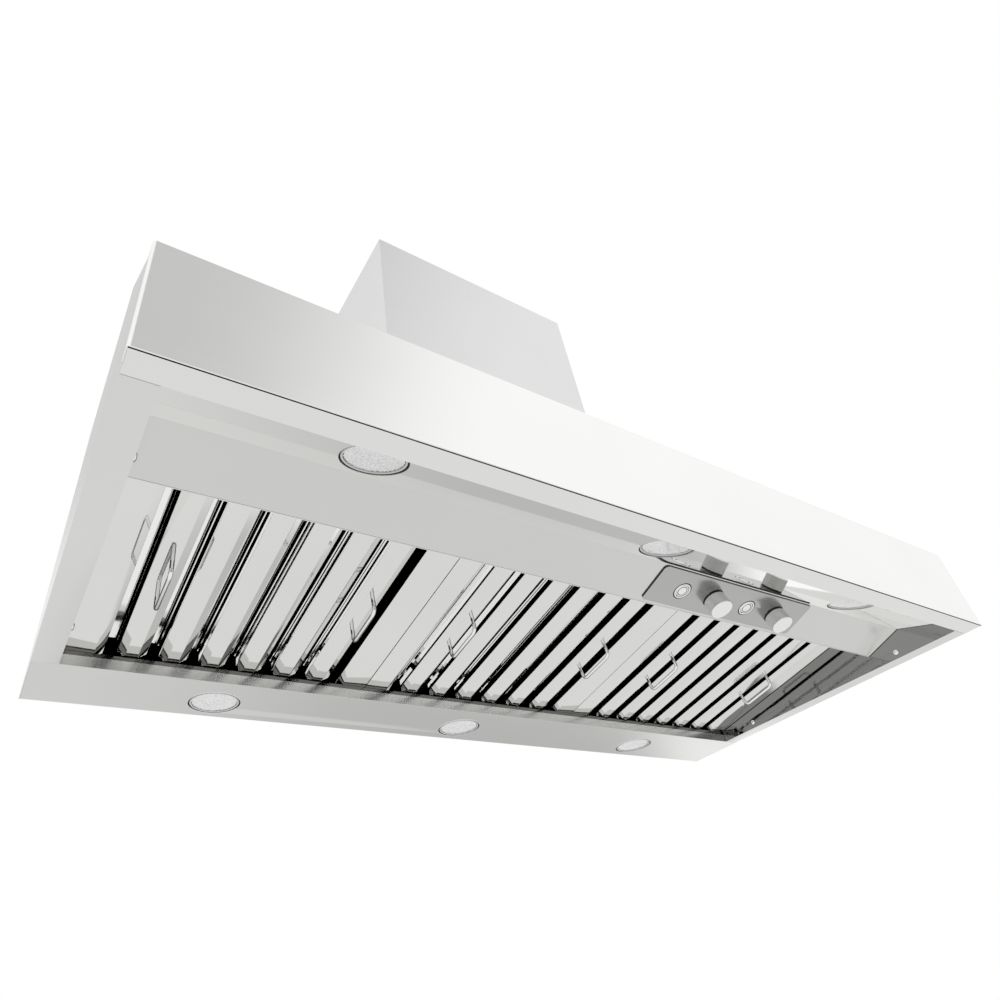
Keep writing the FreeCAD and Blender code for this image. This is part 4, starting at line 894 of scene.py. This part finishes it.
def make_buttons():
    """Buttons with a rim and a dished middle, in bright bezels set in dark flanges; the black
    flanges, bezel inner walls and cap grooves are painted shade in the gaps.
    """
    cap = ((0, 4.5, 0), (9.4, 4.5, 0), (9.4, 0.5, 0), (9.1, 0, 0), (8.0, -0.15, 0),
           (7.4, -0.1, 1), (7.2, 0.45, 1), (6.6, 0.45, 0), (6.4, -0.2, 0), (5.6, -0.35, 0),
           (3.0, -0.15, 0), (0, 0, 0))
    stem = ((0, 4.4, 0), (3.5, 4.4, 0), (3.5, 16, 0), (0, 16, 0))
    bezel = ((9.8, 3.9, 1), (9.8, -0.3, 0), (10.4, -0.8, 0), (11.6, -0.8, 0), (12.1, -0.5, 0),
             (12.4, 0.2, 0), (12.4, 2.4, 1), (16, 2.4, 1), (16, 3.9, 1), (9.8, 3.9, 1))
    bezels = []
    for name, across in (("light", 98.9), ("fan", 230.9)):
        place = CONTROL @ Matrix.Translation((across * MM, 0, 0))
        pieces = [turned_mesh("button_turning", profile, 64, ("ring", "black"), place)
                  for profile in (cap, stem)]
        new_piece(name + "_button_turned", joined(name + "_button_turned", pieces),
                  name + "_button", name + "_button")
        bezels.append(turned_mesh("bezel_turning", bezel, 64, ("ring", "black"), place))
    new_piece("button_bezels_turned", joined("button_bezels_turned", bezels), "hood",
              "button_bezels")


def make_prism_tree():
    """A square sheet of small glass pyramids, cut to a disc and repeated in a row."""
    tree = bpy.data.node_groups.new("prismatic_disc", "GeometryNodeTree")
    row_sockets(tree, ("Radius", "Pitch", "Depth"))
    sockets(tree, "Int", "Cells")
    nodes = Nodes(tree)
    given = nodes.add("NodeGroupInput").outputs
    side = nodes.math("MULTIPLY", given["Cells"], given["Pitch"])
    points = nodes.math("ADD", nodes.math("MULTIPLY", given["Cells"], 2.0), 1.0)
    sheet = nodes.add("GeometryNodeMeshGrid")
    nodes.feed(sheet, Size_X=side, Size_Y=side, Vertices_X=points, Vertices_Y=points)
    place = nodes.add("GeometryNodeInputPosition").outputs[0]
    parts = split(nodes, place)
    half = nodes.math("MULTIPLY", given["Pitch"], 0.5)
    waves = [nodes.math("DIVIDE", nodes.math("PINGPONG", parts[axis], half), half)
             for axis in ("X", "Y")]
    rise = nodes.math("MULTIPLY", nodes.math("ADD", *waves),
                      nodes.math("MULTIPLY", given["Depth"], -0.5))
    lift = nodes.feed(nodes.add("ShaderNodeCombineXYZ"), Z=rise)
    raised = nodes.feed(nodes.add("GeometryNodeSetPosition"), Geometry=sheet.outputs["Mesh"],
                        Offset=lift.outputs[0])
    reach = nodes.add("ShaderNodeVectorMath", operation="LENGTH")
    nodes.feed(reach, Vector=place)
    outside = nodes.math("GREATER_THAN", reach.outputs["Value"], given["Radius"])
    disc = nodes.feed(nodes.add("GeometryNodeDeleteGeometry", domain="POINT"),
                      Geometry=raised.outputs["Geometry"], Selection=outside)
    disc = nodes.feed(nodes.add("GeometryNodeFlipFaces"), Mesh=disc.outputs["Geometry"])
    made = repeated(nodes, given, disc.outputs["Mesh"])
    nodes.feed(nodes.add("NodeGroupOutput"), Geometry=made.outputs["Geometry"])
    return tree


def make_lenses():
    """Prismatic lenses, each with a smooth rim that hides the edge of its pyramids."""
    tree = make_prism_tree()
    rim = ((29.4, 1.5, 0), (29.4, 0.2, 0), (29.8, -0.3, 0), (30.6, -0.5, 0), (31.3, -0.2, 0),
           (31.5, 0.4, 0), (31.5, 4.0, 0), (0, 4.0, 0))
    well = ((31.6, 3.0, 0), (31.6, 1.2, 0), (33.2, 1.2, 0), (33.3, 0.0, 1), (33.5, -0.5, 1),
            (33.9, -0.5, 1), (34.1, 0.0, 1), (34.1, 3.0, 1), (31.6, 3.0, 1))
    for row, place in LAMP_ROWS.items():
        base = bpy.data.meshes.new("lens_base")
        facets = grown(row + "_lens_facets", base, tree, {
            "Radius": 29.6 * MM,
            "Pitch": 2.4 * MM,
            "Depth": 0.7 * MM,
            "Cells": 26,
            "Count": 3,
            "Start": (-387 * MM, 0, 0),
            "Step": (387 * MM, 0, 0),
            "Place": place @ Vector((0, 0, 1.6 * MM)),
            "Turn": place.to_euler(),
            "Finish": MATERIALS["lens"],
        })
        node = row + "_light_lenses"
        rims = [turned_mesh("lens_rim", rim, 64, ("lens",),
                            place @ Matrix.Translation((across * MM, 0, 0)))
                for across in FILTER_PLACE.values()]
        new_piece(node + "_moulded", joined(node + "_moulded", [facets] + rims), "hood", node)
        wells = [turned_mesh("lamp_well", well, 64, ("black", "ring"),
                             place @ Matrix.Translation((across * MM, 0, 0)))
                 for across in FILTER_PLACE.values()]
        node = row + "_light_rings"
        new_piece(node + "_turned", joined(node + "_turned", wells), "hood", node)


def make_screws():
    """Domed screws with a round recess in the head, repeated along each lip."""
    for side, sign in (("left", -1), ("right", 1)):
        node = side + "_liner_screws"
        low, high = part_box(node)
        dome = ((0, 9.0, 0), (2.0, 9.0, 0), (2.0, 0, 0), (4.6, 0, 0), (4.6, -0.7, 0),
                (4.1, -1.6, 0), (3.2, -2.25, 0), (2.0, -2.6, 0), (1.3, -2.6, 0),
                (0.9, -1.5, 0), (0, -1.3, 0))
        screws = []
        for along in (low[1] + 4.6 * MM, high[1] - 4.6 * MM):
            place = (Matrix.Translation((sign * 580.6 * MM, along, (low[2] + high[2]) / 2)) @
                     Matrix.Rotation(math.radians(90 * sign), 4, "Y"))
            screws.append(turned_mesh("screw_turning", dome, 32, ("screw",), place))
        new_piece(node + "_domed", joined(node + "_domed", screws), "hood", node)


# ------------------------------------------------------------------ floor and light

FLOOR_DROP = 1.7                # from the hood's rim to the floor
FLOOR_HALF = 40.0


def make_floor():
    """A pale floor, greyer behind the hood and white far off to the right.

    Reflections see it at its own tone. Far off it turns white to the camera.
    """
    mesh = bpy.data.meshes.new("floor")
    height = cad_bounds[0][2] - FLOOR_DROP
    corners = [(-FLOOR_HALF, -FLOOR_HALF, height), (FLOOR_HALF, -FLOOR_HALF, height),
               (FLOOR_HALF, FLOOR_HALF, height), (-FLOOR_HALF, FLOOR_HALF, height)]
    mesh.from_pydata(corners, [], [(0, 1, 2, 3)])
    floor = bpy.data.objects.new("floor", mesh)
    bpy.context.scene.collection.objects.link(floor)
    material, nodes, shader = new_material("pale_floor")
    nodes.feed(shader, Base_Color=(0.84, 0.84, 0.84, 1), Roughness=0.7)
    place = object_place(nodes)
    parts = split(nodes, place)
    flat = nodes.feed(nodes.add("ShaderNodeMapping"), Vector=place, Scale=(1, 1, 0))
    far = nodes.add("ShaderNodeVectorMath", operation="LENGTH")
    nodes.feed(far, Vector=flat.outputs[0])
    aside = nodes.math("DIVIDE", parts["X"], nodes.math("MAXIMUM", parts["Y"], 0.5))
    behind = nodes.ramp(parts["Y"], 2.0, 3.6, 0.0, 1.0)
    shade = nodes.math("MULTIPLY", behind, nodes.ramp(aside, -0.2, 0.6, 0.0, 0.25))
    wall = nodes.math("MULTIPLY", behind, nodes.ramp(aside, 1.1, 1.5, 0.0, 0.69))
    tone = nodes.math("ADD", nodes.math("SUBTRACT", 0.83, shade), wall)
    tone = nodes.math("MINIMUM", tone, 1.15)
    path = nodes.add("ShaderNodeLightPath").outputs
    mirrored = nodes.math("MAXIMUM", path["Is Glossy Ray"], path["Is Transmission Ray"])
    distant = nodes.math("MULTIPLY", path["Is Camera Ray"],
                         nodes.ramp(far.outputs["Value"], 2.5, 4.8, 0.0, 1.0))
    shown = nodes.math("MAXIMUM", mirrored, distant)
    strength = nodes.math("MAXIMUM", nodes.math("MULTIPLY", tone, mirrored), distant)
    glow = nodes.feed(nodes.add("ShaderNodeEmission"), Color=(1, 1, 1, 1), Strength=strength)
    mixed = nodes.add("ShaderNodeMixShader")
    nodes.set(mixed.inputs[0], shown)
    nodes.set(mixed.inputs[1], shader.outputs[0])
    nodes.set(mixed.inputs[2], glow.outputs[0])
    output = material.node_tree.nodes["Material Output"]
    nodes.tree.links.new(mixed.outputs[0], output.inputs[0])
    mesh.materials.append(material)


def make_world():
    """White to the camera; reflections see a grey patch high overhead."""
    world = bpy.data.worlds.new("studio")
    bpy.context.scene.world = world
    world.use_nodes = True
    world.node_tree.nodes.clear()
    nodes = Nodes(world.node_tree)
    path = nodes.add("ShaderNodeLightPath").outputs
    way = split(nodes, nodes.add("ShaderNodeTexCoord").outputs["Generated"])
    side = nodes.math("MAXIMUM", nodes.ramp(way["X"], 0.02, 0.48, 0.58, 1.03),
                      nodes.ramp(way["X"], -0.30, -0.10, 1.0, 0.58))
    high = nodes.ramp(way["Z"], 0.45, 0.65, 0.0, 1.0)
    mirrored = nodes.math("ADD", nodes.math("MULTIPLY", side, high),
                          nodes.math("SUBTRACT", 1.0, high))
    seen = nodes.math("MAXIMUM", path["Is Glossy Ray"], path["Is Transmission Ray"])
    soft = nodes.math("SUBTRACT", 1.0, seen)
    strength = nodes.math("ADD", nodes.math("MULTIPLY", mirrored, seen),
                          nodes.math("MULTIPLY", soft, 0.75))
    strength = nodes.math("MAXIMUM", strength, path["Is Camera Ray"])
    light = nodes.feed(nodes.add("ShaderNodeBackground"), Color=(1, 1, 1, 1), Strength=strength)
    output = nodes.add("ShaderNodeOutputWorld")
    nodes.tree.links.new(light.outputs[0], output.inputs[0])


def make_softbox(name, place, aim, size, power):
    lamp = bpy.data.lights.new(name, "AREA")
    lamp.shape = "RECTANGLE"
    lamp.size, lamp.size_y = size
    lamp.energy = power
    light = bpy.data.objects.new(name, lamp)
    light.visible_glossy = False
    bpy.context.scene.collection.objects.link(light)
    turn = (Vector(aim) - Vector(place)).to_track_quat("-Z", "Y").to_matrix().to_4x4()
    light.matrix_world = Matrix.Translation(place) @ turn


def light_studio():
    make_world()
    make_softbox("key", (-2.2, -2.6, 1.6), (0, -0.3, 0), (2.0, 2.0), 20)


# ------------------------------------------------------------------ assembly

place_camera()
make_floor()
light_studio()
finish_nodes()
dress_shell()
dress_control_plate()
make_plate_rim()
make_tray_ends()
dress_filter_frames()
make_baffles()
make_handles()
make_knobs()
make_buttons()
make_lenses()
make_screws()

scene = bpy.context.scene
scene.view_settings.view_transform = "Standard"
